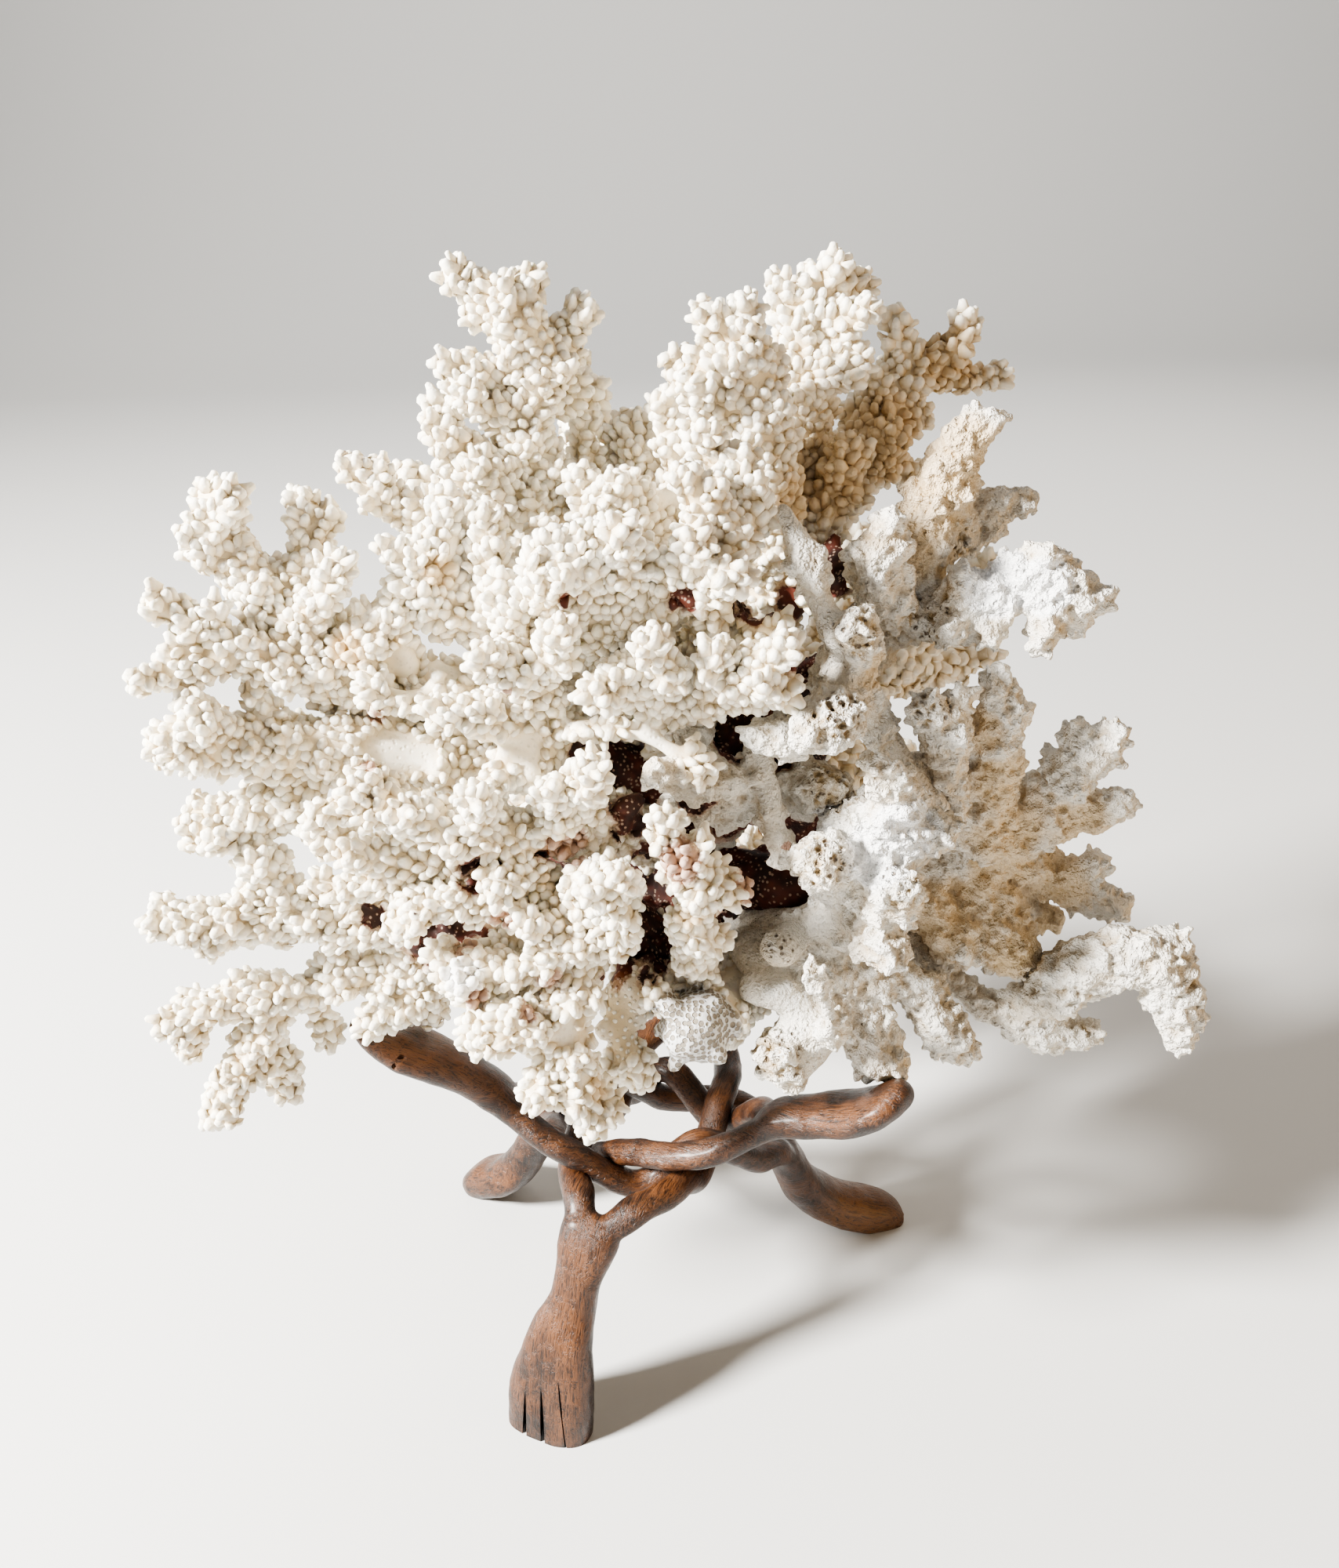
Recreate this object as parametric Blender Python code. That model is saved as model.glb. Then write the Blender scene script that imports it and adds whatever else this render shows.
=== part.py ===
"""A branching stony coral, cauliflower kind, resting on a carved stand of three interlinked legs.

The colony is split at its main forks: a stained trunk, and the limbs that leave it. Each limb is
one solid, its branches and their lumps fused together. The stand is three wooden legs, each with
a foot, two strands round a slot, and a flat head; the strands of each pass through the slots of
the others. Nothing is joined: the legs hold each other, and the coral rests on the three heads.
"""

import itertools
import math

import bmesh
import bpy
import numpy as np
from mathutils import Matrix, Vector
from mathutils.bvhtree import BVHTree

MM = 0.001
SEED = 11

# Every measure below is in mm from the middle of the three feet, on the surface they stand on.

# Stand
LOOP_CENTRE = Vector((8.0, -2.0, 68.0))
LOOP_HALF_LENGTH = 43.0
LOOP_HALF_WIDTH = 19.0  # to the middle of a strand
LOOP_END_HALF_WIDTH = 5.0
STRAND_WIDTH = 9.8
STRAND_DEPTH = 8.2
WEAVE = 6.5  # a strand's height over or under the middle where it crosses inside another loop
OUTER_SHARE = 0.6  # of the drop or the rise, reached where a strand crosses outside that
STRAND_STEP = 3.0
END_STEP = 4.0
WOOD_VOXELS = (1.3, 1.35, 1.25, 1.4, 1.2)  # tried in turn, with each share below, until a leg is sound
WOOD_FACES_PER_CM2 = 3.4
END_SIDES = 14
LEG_ORDER = ("stand_leg_front", "stand_leg_right", "stand_leg_left")  # anticlockwise from above

# Coral
LUMP_RADIUS = 2.9
LUMP_SPACING = 7.5
LUMP_STAND_OUT = 1.3
TIP_LUMP_RADIUS = 3.4
CORAL_VOXELS = (2.0, 2.1, 1.9, 2.2, 1.8)  # tried in turn, with each share below, until a limb is sound
CORAL_FACES_PER_CM2 = 1.45
CREAM_SWELL = 1.8  # added to a branch's radius, so that its skin takes in the fine nubs
CHALK_SWELL = 0.6
TUBE_SIDES = 10
TUBE_STEP = 6.0
LUMPS_SPREAD = 4.6  # a branch has one lump in each step for every so much of its radius
TIPWARD = 0.35  # how far a lump leans to its branch's tip
ANY_SIDE = (0.31, 0.87, 0.38)  # no branch runs this way, so a round section can start from it
SLIVER = 0.02  # mm; what a cut leaves thinner than this is closed up
FACE_SHARES = (1.0, 1.1, 0.92)
CLEARANCE = 1.0  # mm that a piece is cut back from its neighbours
CUTTER_VOXEL = 0.8
CUTTER_FACES_PER_CM2 = 6.0

CREAM = (0.86, 0.80, 0.69, 1.0)
CHALK = (0.88, 0.86, 0.82, 1.0)
STAINED = (0.23, 0.11, 0.08, 1.0)
BROWN_WOOD = (0.19, 0.085, 0.045, 1.0)

# Each leg: plan direction from foot to head in degrees; how far its loop drops to the foot and rises
# to the head; then the foot's and the head's centre line as (x, y, z, width, thickness).
LEGS = {
    "stand_leg_front": (
        68.0, (1, 10),
        ((-28, -62, -6, 27, 13), (-27.5, -61, 3, 28, 14), (-26, -60, 14, 28, 14), (-23, -57, 30, 22, 13.5),
         (-18.5, -52, 42, 15.5, 13), (-16, -49, 51, 15, 12.5), (-13, -45.5, 60, 18.5, 11.5),
         (-9, -42.5, 68.5, 19.5, 9)),
        ((25, 38, 78, 19.5, 9), (29, 46, 87, 15, 11), (33, 53, 98, 13, 11), (37, 60, 109, 18, 11),
         (41, 68, 115, 23, 10), (46, 79, 118, 19, 9), (50, 87, 119, 10, 7)),
    ),
    "stand_leg_right": (
        191.5, (-15, 14),
        ((93, 23, -2, 15, 12), (88, 21.5, 3.5, 18, 13), (79, 19, 7.5, 20, 14), (67, 15.5, 16, 18, 14),
         (58, 12, 28, 16, 13.5), (53.5, 9, 40, 16.5, 12), (50, 7, 52.5, 19.5, 9)),
        ((-34, -11, 82.5, 19.5, 9), (-41, -12.5, 92, 17, 11), (-50, -14, 102, 18, 11),
         (-60, -16, 110.5, 23, 11), (-69, -18, 117, 24, 10), (-76, -19.5, 123, 18, 8),
         (-81, -21, 127.5, 8, 6)),
    ),
    "stand_leg_left": (
        321.0, (-17, 20),
        ((-62, 46.5, 0.5, 15, 11), (-57, 43, 6, 19, 13), (-48, 37, 13, 20, 14), (-41, 33, 24, 16, 13),
         (-35, 30, 36, 15, 12), (-28.5, 27, 48, 19, 11), (-25.5, 25, 51.5, 19.5, 9)),
        ((41, -29, 87.5, 19.5, 9), (47, -32, 95, 17, 11), (56, -36, 99, 17, 11), (66, -41, 103.5, 21, 11),
         (73, -45, 108.5, 22, 10), (78, -48.5, 114.5, 17, 9), (80.5, -50.5, 119, 10, 7)),
    ),
}

# The colony's branches as (x, y, z, radius), from root to tip.
LIMBS = {
    "trunk": (
        ((18, 9, 112, 10), (19, 15, 121, 15), (20, 23, 144, 14), (23, 27, 168, 13), (26, 31, 191, 11.5),
         (29, 35, 210, 10)),
        ((19, 13, 124, 11.5), (7, -1, 143, 9.5), (-4, -9, 154, 8)),
        ((20, 17, 151, 11.5), (37, 9, 155, 9.5), (53, -1, 158, 9)),
        ((23, 21, 177, 10.5), (7, 11, 191, 9), (-9, 3, 200, 8)),
        ((26, 25, 191, 10), (42, 17, 205, 9), (58, 9, 217, 8)),
        ((26, 27, 185, 9.5), (42, 15, 190, 9), (56, 5, 193, 8)),
    ),
    "left_low": (
        ((-4, -9, 148, 7.5), (-23, -13, 152, 7), (-40, -17, 155, 7), (-55, -19, 154, 7.5),
         (-68, -21, 163, 6), (-85, -24, 167, 5.5), (-100, -27, 170, 5.5), (-111, -31, 170, 6),
         (-121, -35, 174, 4.5)),
        ((-88, -24, 170, 5), (-95, -25, 179, 6), (-96, -27, 189, 5)),
        ((-78, -21, 160, 3), (-81, -23, 154, 2.5)),
        ((-56, -19, 149, 6.5), (-66, -21, 145, 5.5), (-79, -25, 147, 4), (-88, -27, 144, 4),
         (-100, -31, 146, 5), (-113, -35, 146, 4.5), (-124, -39, 144, 3)),
        ((-117, -37, 143, 2.5), (-121, -39, 136, 2.5)),
        ((-98, -31, 141, 4.5), (-105, -35, 132, 4.5), (-109, -39, 125, 5), (-115, -43, 117, 4.5)),
        ((-102, -29, 130, 3), (-102, -25, 109, 3)),
        ((-88, -25, 137, 2.5), (-87, -23, 126, 2.5)),
        ((-59, -21, 146, 6), (-63, -27, 139, 5.5), (-69, -33, 137, 3.5)),
        ((-57, -15, 144, 4.5), (-58, -13, 125, 3)),
    ),
    "left_mid": (
        ((-9, 3, 200, 7.5), (-26, -5, 205, 7.5), (-45, -11, 209, 8), (-63, -15, 216, 7.5),
         (-79, -19, 217, 7.5), (-92, -23, 221, 7), (-102, -27, 224, 7), (-110, -31, 226, 6)),
        ((-88, -19, 223, 4), (-89, -21, 228, 2.5)),
        ((-96, -27, 227, 3.5), (-101, -33, 233, 3)),
        ((-79, -17, 209, 5), (-88, -21, 204, 5.5), (-99, -24, 199, 6), (-108, -27, 200, 6.5)),
        ((-87, -19, 205, 3), (-85, -21, 198, 2)),
    ),
    "left_high": (
        ((-8, 3, 204, 7), (-27, -1, 219, 6.5), (-45, -5, 228, 7), (-59, -9, 232, 7),
         (-71, -13, 234, 6.5), (-78, -17, 241, 6), (-90, -21, 246, 5), (-101, -25, 246, 4),
         (-109, -29, 246, 3), (-114, -31, 244, 2)),
        ((-101, -23, 250, 3), (-105, -25, 258, 2.5), (-108, -25, 261, 2)),
        ((-107, -27, 243, 2.5), (-105, -29, 237, 2)),
        ((-88, -21, 242, 3), (-91, -21, 236, 2)),
        ((-96, -23, 252, 2), (-97, -23, 258, 1.5)),
        ((-75, -15, 239, 5.5), (-82, -13, 250, 5.5), (-86, -11, 258, 5.5), (-92, -9, 266, 5.5),
         (-98, -9, 272, 6.5), (-97, -11, 279, 5), (-92, -13, 284, 3)),
        ((-81, -13, 254, 5), (-79, -7, 261, 5), (-75, -3, 268, 4.5), (-73, -1, 275, 3.5),
         (-75, -1, 278, 2.5)),
        ((-77, -17, 251, 4), (-70, -19, 260, 3.5), (-65, -21, 267, 2.5)),
        ((-60, -13, 236, 6), (-61, -19, 247, 5), (-59, -19, 253, 2)),
        ((-52, -13, 238, 4.5), (-51, -19, 248, 2.5), (-51, -21, 253, 2)),
        ((-72, -9, 237, 3), (-71, -7, 247, 2.5)),
        ((-36, -11, 228, 5), (-47, -21, 231, 3.5), (-57, -25, 234, 2.5)),
    ),
    "upper_left": (
        ((5, 17, 203, 7.5), (-11, 5, 229, 6.5), (-25, -3, 243, 6.5), (-39, -11, 254, 6.5),
         (-42, -13, 265, 6.5), (-39, -13, 273, 5), (-37, -13, 279, 3)),
        ((-42, -15, 264, 3), (-50, -17, 270, 2)),
        ((-41, -15, 257, 3), (-49, -17, 260, 2)),
        ((-37, -15, 252, 3.5), (-48, -17, 254, 2.5)),
        ((-31, -1, 250, 4.5), (-39, 3, 264, 4), (-45, 5, 271, 4), (-53, 3, 277, 4), (-58, 1, 284, 3.5),
         (-61, 1, 287, 2.5)),
        ((-24, -9, 246, 5.5), (-27, -15, 261, 3.5), (-27, -15, 270, 3.5), (-27, -15, 276, 2)),
        ((-23, -5, 245, 4.5), (-19, -7, 259, 4), (-14, -9, 270, 3)),
    ),
    "top_left": (
        ((27, 33, 203, 7.5), (6, 29, 238, 7), (-7, 25, 259, 6.5), (-15, 21, 275, 7.5), (-19, 19, 287, 7),
         (-18, 19, 298, 6.5), (-13, 19, 308, 6.5), (-18, 17, 318, 6.5), (-23, 17, 325, 5.5),
         (-31, 17, 331, 3)),
        ((-11, 21, 308, 5), (-6, 23, 315, 4), (-3, 23, 320, 2.5)),
        ((-11, 25, 300, 5.5), (-3, 27, 300, 4)),
        ((-19, 17, 306, 3.5), (-28, 15, 309, 2.5), (-35, 13, 311, 2)),
        ((-21, 15, 297, 3.5), (-31, 11, 302, 2.5), (-33, 11, 304, 2)),
        ((-19, 17, 280, 5.5), (-31, 13, 286, 4.5), (-38, 11, 291, 4), (-40, 11, 294, 2.5)),
        ((-16, 15, 271, 5), (-25, 9, 277, 4), (-29, 5, 284, 3)),
        ((-4, 31, 260, 4), (-2, 31, 275, 3.5), (-3, 31, 289, 2.5)),
        ((-19, 19, 328, 3), (-16, 19, 329, 2)),
    ),
    "top_mid": (
        ((29, 33, 211, 7.5), (23, 33, 236, 7), (18, 31, 254, 7), (15, 33, 270, 7), (11, 35, 286, 7)),
        ((23, 27, 250, 5.5), (25, 21, 270, 4.5), (23, 19, 284, 4), (20, 17, 296, 2.5)),
        ((21, 15, 268, 1.5), (21, 13, 277, 1.5), (25, 11, 285, 1.5), (28, 11, 289, 1)),
        ((18, 21, 257, 6), (10, 9, 272, 6), (6, 1, 280, 3.5)),
        ((3, 17, 259, 5.5), (-2, 11, 272, 4.5), (-3, 9, 279, 2.5)),
    ),
    "top_right": (
        ((36, 27, 211, 8), (44, 15, 240, 8), (47, 7, 258, 8.5), (44, 3, 275, 9), (42, 1, 292, 9),
         (40, -1, 307, 8.5), (36, -3, 317, 6), (32, -5, 322, 3)),
        ((39, -3, 315, 4), (39, -3, 322, 2.5)),
        ((36, -5, 307, 4), (29, -9, 311, 3), (26, -9, 309, 2)),
        ((35, -5, 301, 3.5), (27, -9, 306, 2)),
        ((52, 21, 256, 8), (54, 23, 278, 8), (55, 25, 296, 8.5), (57, 27, 311, 7.5), (60, 29, 321, 6.5),
         (64, 29, 328, 3.5)),
        ((61, 25, 314, 4), (67, 21, 317, 3), (72, 19, 320, 2)),
        ((64, 33, 322, 4.5), (71, 37, 323, 3.5)),
        ((60, 21, 302, 4), (68, 19, 306, 3)),
        ((52, 27, 319, 4), (51, 27, 324, 2)),
        ((54, 25, 255, 7), (70, 33, 272, 7.5), (77, 37, 284, 7), (82, 39, 294, 6), (93, 41, 301, 5),
         (101, 41, 305, 3.5), (103, 41, 311, 2)),
        ((86, 39, 298, 4), (86, 39, 307, 3), (84, 39, 313, 1.5)),
        ((97, 41, 299, 3.5), (108, 43, 297, 2.5), (112, 43, 297, 2)),
        ((79, 35, 286, 4), (89, 35, 288, 2.5)),
        ((78, 35, 274, 4.5), (86, 35, 274, 2.5), (90, 35, 273, 2)),
        ((81, 31, 275, 4), (80, 25, 284, 3.5)),
        ((56, 17, 257, 6.5), (65, 13, 275, 5.5), (67, 11, 284, 3.5)),
        ((44, 15, 240, 8), (54, 8, 249, 7), (62, -2, 258, 6)),
    ),
    "centre_high": (
        ((26, 21, 198, 7), (15, 1, 222, 6.5), (7, -15, 245, 6.5), (2, -31, 265, 5), (-1, -39, 276, 3.5)),
        ((8, -17, 248, 5.5), (9, -35, 270, 4.5), (8, -43, 280, 3)),
        ((10, -15, 245, 6), (19, -31, 264, 5), (24, -41, 275, 3.5)),
        ((3, -17, 244, 6), (-9, -29, 259, 5), (-12, -37, 270, 4), (-9, -41, 277, 2)),
        ((-5, -15, 241, 6), (-19, -25, 254, 5), (-23, -29, 261, 3)),
        ((18, -29, 260, 5), (32, -27, 271, 6), (30, -31, 282, 5), (25, -33, 289, 3.5)),
        ((32, -25, 273, 4.5), (31, -21, 289, 4.5), (28, -21, 297, 3)),
        ((34, -23, 270, 5), (40, -25, 282, 3.5), (38, -25, 290, 2.5)),
        ((24, -33, 266, 4), (33, -43, 269, 3.5)),
        ((-3, -33, 263, 3), (-5, -43, 272, 2)),
    ),
    "centre_mid": (
        ((23, 21, 182, 7), (19, -9, 215, 6.5), (16, -29, 234, 5.5), (16, -41, 247, 4), (14, -47, 254, 2)),
        ((17, -27, 230, 5.5), (6, -37, 241, 5), (1, -45, 242, 3)),
        ((19, -25, 229, 5.5), (33, -35, 238, 5.5), (40, -43, 246, 4.5), (44, -45, 251, 3)),
        ((35, -31, 235, 4.5), (29, -43, 249, 3)),
        ((37, -29, 237, 4), (44, -31, 252, 3.5), (48, -35, 253, 2)),
        ((39, -31, 233, 4), (45, -41, 239, 2.5)),
        ((33, -33, 239, 4.5), (34, -19, 248, 4), (28, -29, 256, 3.5), (24, -33, 262, 2.5)),
        ((34, -19, 248, 4.5), (29, -9, 249, 5.5), (28, -15, 240, 5)),
        ((-8, -5, 207, 7.5), (-15, -19, 223, 7), (-17, -29, 238, 5), (-23, -36, 246, 4),
         (-26, -40, 250, 2.5)),
        ((-15, -29, 236, 4), (-12, -37, 248, 3), (-8, -43, 257, 2)),
        ((-15, -21, 222, 6.5), (-27, -29, 228, 5.5), (-33, -35, 234, 4), (-39, -37, 235, 2.5)),
        ((-17, -21, 219, 7), (-23, -29, 216, 6), (-27, -35, 215, 3)),
        ((-10, -29, 225, 2.5), (-1, -33, 227, 2), (11, -36, 226, 2), (18, -38, 222, 2),
         (24, -39, 218, 2)),
    ),
    "left_front": (
        ((11, 13, 168, 7.5), (-2, -15, 189, 7), (-17, -31, 196, 6), (-31, -38, 199, 5.5),
         (-43, -42, 204, 5), (-54, -44, 211, 4), (-66, -45, 213, 3), (-71, -45, 211, 2)),
        ((-29, -29, 191, 5.5), (-47, -31, 186, 5), (-58, -35, 192, 5), (-69, -37, 197, 4.5),
         (-75, -37, 201, 3)),
        ((-55, -33, 184, 4.5), (-65, -36, 184, 3), (-76, -37, 185, 2)),
        ((-6, -23, 194, 6), (-6, -39, 212, 4), (-3, -47, 221, 2.5)),
        ((-12, -29, 197, 5.5), (-13, -43, 213, 3.5)),
        ((-32, -37, 200, 4), (-32, -47, 214, 2.5)),
        ((4, -9, 183, 5), (5, -29, 201, 3)),
        ((-55, -37, 213, 3.5), (-60, -39, 218, 3)),
    ),
    "bottom_left": (
        ((9, 7, 134, 8.5), (-5, -23, 160, 6.5), (-18, -33, 176, 6), (-29, -38, 179, 5),
         (-40, -41, 181, 4.5), (-50, -43, 181, 4), (-56, -43, 177, 3)),
        ((-9, -25, 162, 6), (-4, -43, 183, 6), (2, -51, 192, 4.5)),
        ((-6, -29, 164, 5.5), (2, -47, 181, 4.5), (2, -47, 172, 3.5)),
        ((-9, -31, 163, 5.5), (-9, -45, 169, 5)),
        ((-14, -35, 163, 5), (-19, -46, 175, 2.5), (-21, -48, 178, 2)),
        ((-14, -35, 159, 5), (-20, -45, 162, 3.5), (-25, -47, 162, 2)),
        ((-8, -29, 156, 6.5), (-14, -45, 149, 6.5), (-15, -51, 139, 6), (-11, -55, 129, 5),
         (-8, -59, 120, 3)),
        ((-16, -47, 140, 6), (-27, -53, 149, 5.5), (-35, -55, 147, 5)),
        ((-19, -53, 134, 4.5), (-22, -59, 131, 3)),
        ((-10, -53, 128, 3), (-3, -55, 122, 1.5)),
        ((-15, -31, 153, 5.5), (-29, -39, 155, 5.5), (-41, -45, 160, 5.5)),
        ((-20, -21, 153, 2.5), (-34, -29, 159, 2), (-47, -35, 161, 2)),
        ((-17, -31, 179, 4.5), (-24, -39, 189, 4), (-28, -45, 189, 3)),
    ),
    "centre_low": (
        ((21, 11, 113, 8.5), (22, -21, 140, 5.5), (22, -39, 165, 4.5), (21, -44, 176, 3.5),
         (24, -48, 187, 5.5), (20, -51, 197, 4), (15, -52, 204, 2.5), (15, -52, 208, 2)),
        ((23, -49, 193, 3), (24, -50, 201, 1.5)),
        ((26, -47, 189, 3.5), (31, -47, 187, 2.5)),
        ((21, -39, 162, 3), (27, -41, 165, 2)),
        ((16, 1, 123, 7.5), (5, -23, 141, 5.5), (1, -31, 137, 5), (1, -37, 129, 4), (5, -39, 121, 4.5)),
        ((5, -27, 140, 4.5), (10, -37, 145, 3)),
        ((1, -37, 123, 3), (-5, -39, 119, 2.5)),
        ((27, 1, 126, 8.5), (33, -19, 131, 8.5), (25, -35, 135, 9.5), (20, -43, 136, 9.5)),
    ),
    "bottom_right": (
        ((39, 7, 136, 8.5), (52, -13, 149, 8), (63, -21, 157, 8.5), (72, -29, 171, 8.5),
         (75, -35, 192, 7.5), (76, -39, 208, 5.5), (70, -43, 218, 3)),
        ((68, -27, 176, 7), (55, -43, 191, 6.5)),
        ((73, -33, 169, 7.5), (77, -47, 183, 6)),
        ((72, -35, 165, 7), (74, -47, 164, 5.5)),
        ((52, -15, 150, 6.5), (46, -35, 158, 5.5)),
        ((45, -11, 145, 7), (40, -21, 145, 6), (62, -25, 142, 7.5), (78, -25, 140, 6)),
        ((60, -23, 139, 8), (55, -35, 131, 9), (50, -41, 124, 8)),
        ((69, -23, 135, 7), (73, -31, 123, 7.5), (78, -35, 116, 6)),
        ((52, -38, 126, 8), (45, -43, 128, 7)),
        ((57, -38, 131, 5), (60, -46, 138, 2.8), (57, -51, 152, 1.8), (53, -54, 164, 1.2)),
        ((78, -23, 141, 5), (90, -25, 133, 5.5), (93, -27, 127, 6.5), (100, -29, 119, 5.5)),
        ((81, -33, 188, 5.5), (88, -37, 195, 4)),
        ((61, -25, 190, 5.5), (69, -29, 196, 5)),
    ),
    "bone_front": (
        ((29, 11, 171, 6), (38, -13, 197, 6.5), (26, -31, 210, 6), (16, -40, 217, 4),
         (12, -44, 221, 2.5)),
        ((36, -17, 194, 5.5), (19, -29, 202, 3.5)),
        ((38, -13, 197, 6), (50, -15, 200, 6), (60, -21, 201, 6)),
        ((27, -21, 213, 4), (23, -25, 221, 3.5)),
        ((49, -17, 215, 4.5), (41, -23, 216, 3), (43, -27, 206, 3.5), (45, -29, 195, 3.5),
         (48, -31, 187, 3)),
    ),
    "right_high": (
        ((58, 11, 217, 7.5), (70, 3, 229, 7.5), (80, 1, 246, 7.5), (85, 1, 257, 8.5), (90, 3, 268, 8.5),
         (94, 5, 280, 6.5), (98, 5, 290, 4.5), (103, 5, 293, 2.5)),
        ((98, 7, 266, 5), (107, 9, 270, 3.5), (115, 9, 270, 2.5)),
        ((97, 7, 261, 5), (105, 7, 264, 3)),
        ((78, -9, 247, 6.5), (71, -19, 263, 6), (73, -22, 272, 4.5)),
        ((81, -5, 243, 5.5), (95, -11, 248, 6), (107, -13, 256, 5), (115, -17, 260, 5.5),
         (124, -19, 253, 4.5), (129, -19, 253, 2.5)),
        ((94, -13, 249, 4), (94, -15, 256, 3.5)),
        ((95, -13, 248, 4), (92, -17, 244, 3)),
        ((115, -17, 257, 4.5), (117, -21, 248, 4), (115, -21, 241, 2)),
        ((125, -17, 252, 3.5), (125, -17, 244, 2.5)),
        ((106, -15, 255, 3.5), (102, -19, 244, 2.5)),
        ((63, -5, 226, 6.5), (65, -25, 240, 5.5), (64, -36, 252, 5.5)),
        ((47, -25, 280, 2.5), (52, -29, 270, 4), (56, -31, 258, 3.5), (63, -31, 245, 5),
         (65, -29, 232, 5.5), (73, -27, 221, 4), (80, -25, 210, 3.5), (89, -23, 197, 3)),
        ((65, -29, 232, 5.5), (59, -42, 231, 6.5), (53, -47, 230, 5)),
        ((60, -27, 228, 5), (47, -35, 223, 4.5), (41, -35, 224, 3)),
    ),
    "right_mid": (
        ((53, 1, 157, 8), (76, -1, 165, 7.5), (97, -1, 167, 8), (115, -3, 173, 9.5), (126, -7, 187, 7),
         (130, -11, 199, 6), (136, -15, 206, 4.5), (139, -17, 211, 3)),
        ((131, -11, 201, 4.5), (130, -13, 210, 3)),
        ((121, -5, 176, 6), (133, -9, 183, 5), (143, -13, 188, 4)),
        ((118, -3, 167, 8.5), (128, -3, 161, 6), (137, -7, 157, 5.5), (148, -9, 153, 3.5)),
        ((137, -7, 159, 4), (140, -9, 166, 3)),
        ((114, -1, 161, 8), (122, -1, 148, 5.5), (131, -1, 143, 3.5)),
        ((107, -9, 174, 7), (107, -15, 197, 6), (107, -19, 214, 5), (106, -21, 227, 4),
         (104, -21, 232, 2.5)),
        ((106, -19, 218, 3.5), (112, -19, 221, 2)),
        ((98, -11, 180, 6), (92, -23, 207, 4.5), (89, -29, 223, 5.5), (84, -31, 228, 3)),
        ((89, -29, 226, 3.5), (94, -29, 230, 2.5)),
        ((93, -15, 205, 3), (98, -17, 213, 3)),
        ((106, -3, 162, 7.5), (112, -10, 152, 7.5), (116, -17, 142, 7.5)),
        ((76, -1, 165, 7.5), (90, -7, 156, 7), (101, -16, 145, 6.5)),
    ),
    "right_low": (
        ((53, 3, 150, 6.5), (81, -5, 142, 5.5), (97, -13, 134, 3.5), (111, -19, 124, 3.5),
         (124, -21, 127, 7), (134, -25, 140, 8), (145, -29, 147, 8), (156, -31, 145, 8),
         (161, -33, 133, 6), (163, -35, 123, 3.5)),
        ((117, -21, 123, 4.5), (128, -23, 116, 5), (139, -25, 118, 3.5)),
        ((154, -29, 148, 5), (159, -29, 151, 3.5)),
        ((158, -33, 139, 4.5), (164, -33, 136, 2.5)),
    ),
    "back_left": (
        ((18, 26, 150, 8.5), (-10, 42, 158, 7), (-38, 56, 166, 7), (-62, 66, 176, 6), (-80, 72, 190, 4)),
        ((-38, 56, 166, 6), (-56, 72, 158, 5.5), (-72, 84, 156, 4)),
        ((-10, 42, 158, 7), (-24, 62, 172, 6), (-36, 80, 186, 5.5), (-44, 88, 200, 4)),
        ((-24, 62, 172, 5.5), (-20, 82, 160, 5), (-18, 93, 150, 3.5)),
        ((-62, 66, 176, 5), (-86, 60, 168, 4)),
        ((-10, 42, 158, 6.5), (-30, 50, 136, 6), (-52, 58, 124, 5), (-66, 64, 122, 3.5)),
        ((-30, 50, 136, 5.5), (-34, 72, 128, 5), (-38, 86, 126, 3.5)),
        ((-36, 80, 186, 4.5), (-54, 84, 192, 3.5)),
    ),
    "back_high": (
        ((24, 30, 210, 8.5), (16, 44, 236, 7), (4, 54, 262, 6.5), (-6, 60, 288, 5.5), (-10, 62, 302, 4)),
        ((4, 54, 262, 6), (20, 66, 280, 5.5), (26, 72, 296, 4)),
        ((16, 44, 236, 7), (-14, 56, 240, 6), (-40, 62, 252, 5.5), (-58, 64, 268, 4)),
        ((-14, 56, 240, 6), (-24, 74, 236, 5), (-34, 84, 238, 4)),
        ((-40, 62, 252, 5), (-44, 56, 276, 4), (-46, 54, 290, 3.5)),
        ((16, 44, 236, 7), (30, 64, 240, 6), (38, 82, 250, 5), (42, 90, 262, 4)),
        ((30, 64, 240, 5.5), (16, 82, 232, 4.5), (8, 92, 230, 3.5)),
        ((38, 82, 250, 4), (54, 84, 246, 3.5)),
    ),
    "back_right": (
        ((34, 28, 180, 8.5), (58, 42, 190, 7), (84, 50, 204, 6.5), (106, 54, 222, 5.5),
         (116, 54, 236, 4)),
        ((84, 50, 204, 6), (104, 64, 200, 5), (122, 70, 202, 4)),
        ((58, 42, 190, 7), (66, 64, 204, 6), (76, 78, 222, 5), (82, 84, 236, 4)),
        ((66, 64, 204, 5.5), (58, 84, 196, 4.5), (56, 94, 192, 3.5)),
        ((58, 42, 190, 7), (84, 50, 168, 6), (108, 52, 156, 5), (124, 50, 152, 4)),
        ((84, 50, 168, 5.5), (92, 70, 162, 5), (98, 82, 160, 4)),
        ((76, 78, 222, 4), (94, 78, 230, 3.5)),
    ),
    "back_low": (
        ((20, 28, 135, 9.5), (32, 46, 136, 7.5), (42, 62, 134, 7), (52, 76, 138, 5.5), (58, 86, 144, 4)),
        ((32, 46, 136, 7), (22, 66, 142, 6.5), (12, 82, 150, 5), (8, 92, 158, 4)),
        ((42, 62, 134, 6), (60, 66, 126, 5), (76, 70, 124, 4)),
        ((22, 66, 142, 5.5), (4, 76, 134, 4.5), (-6, 84, 128, 3.5)),
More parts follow.
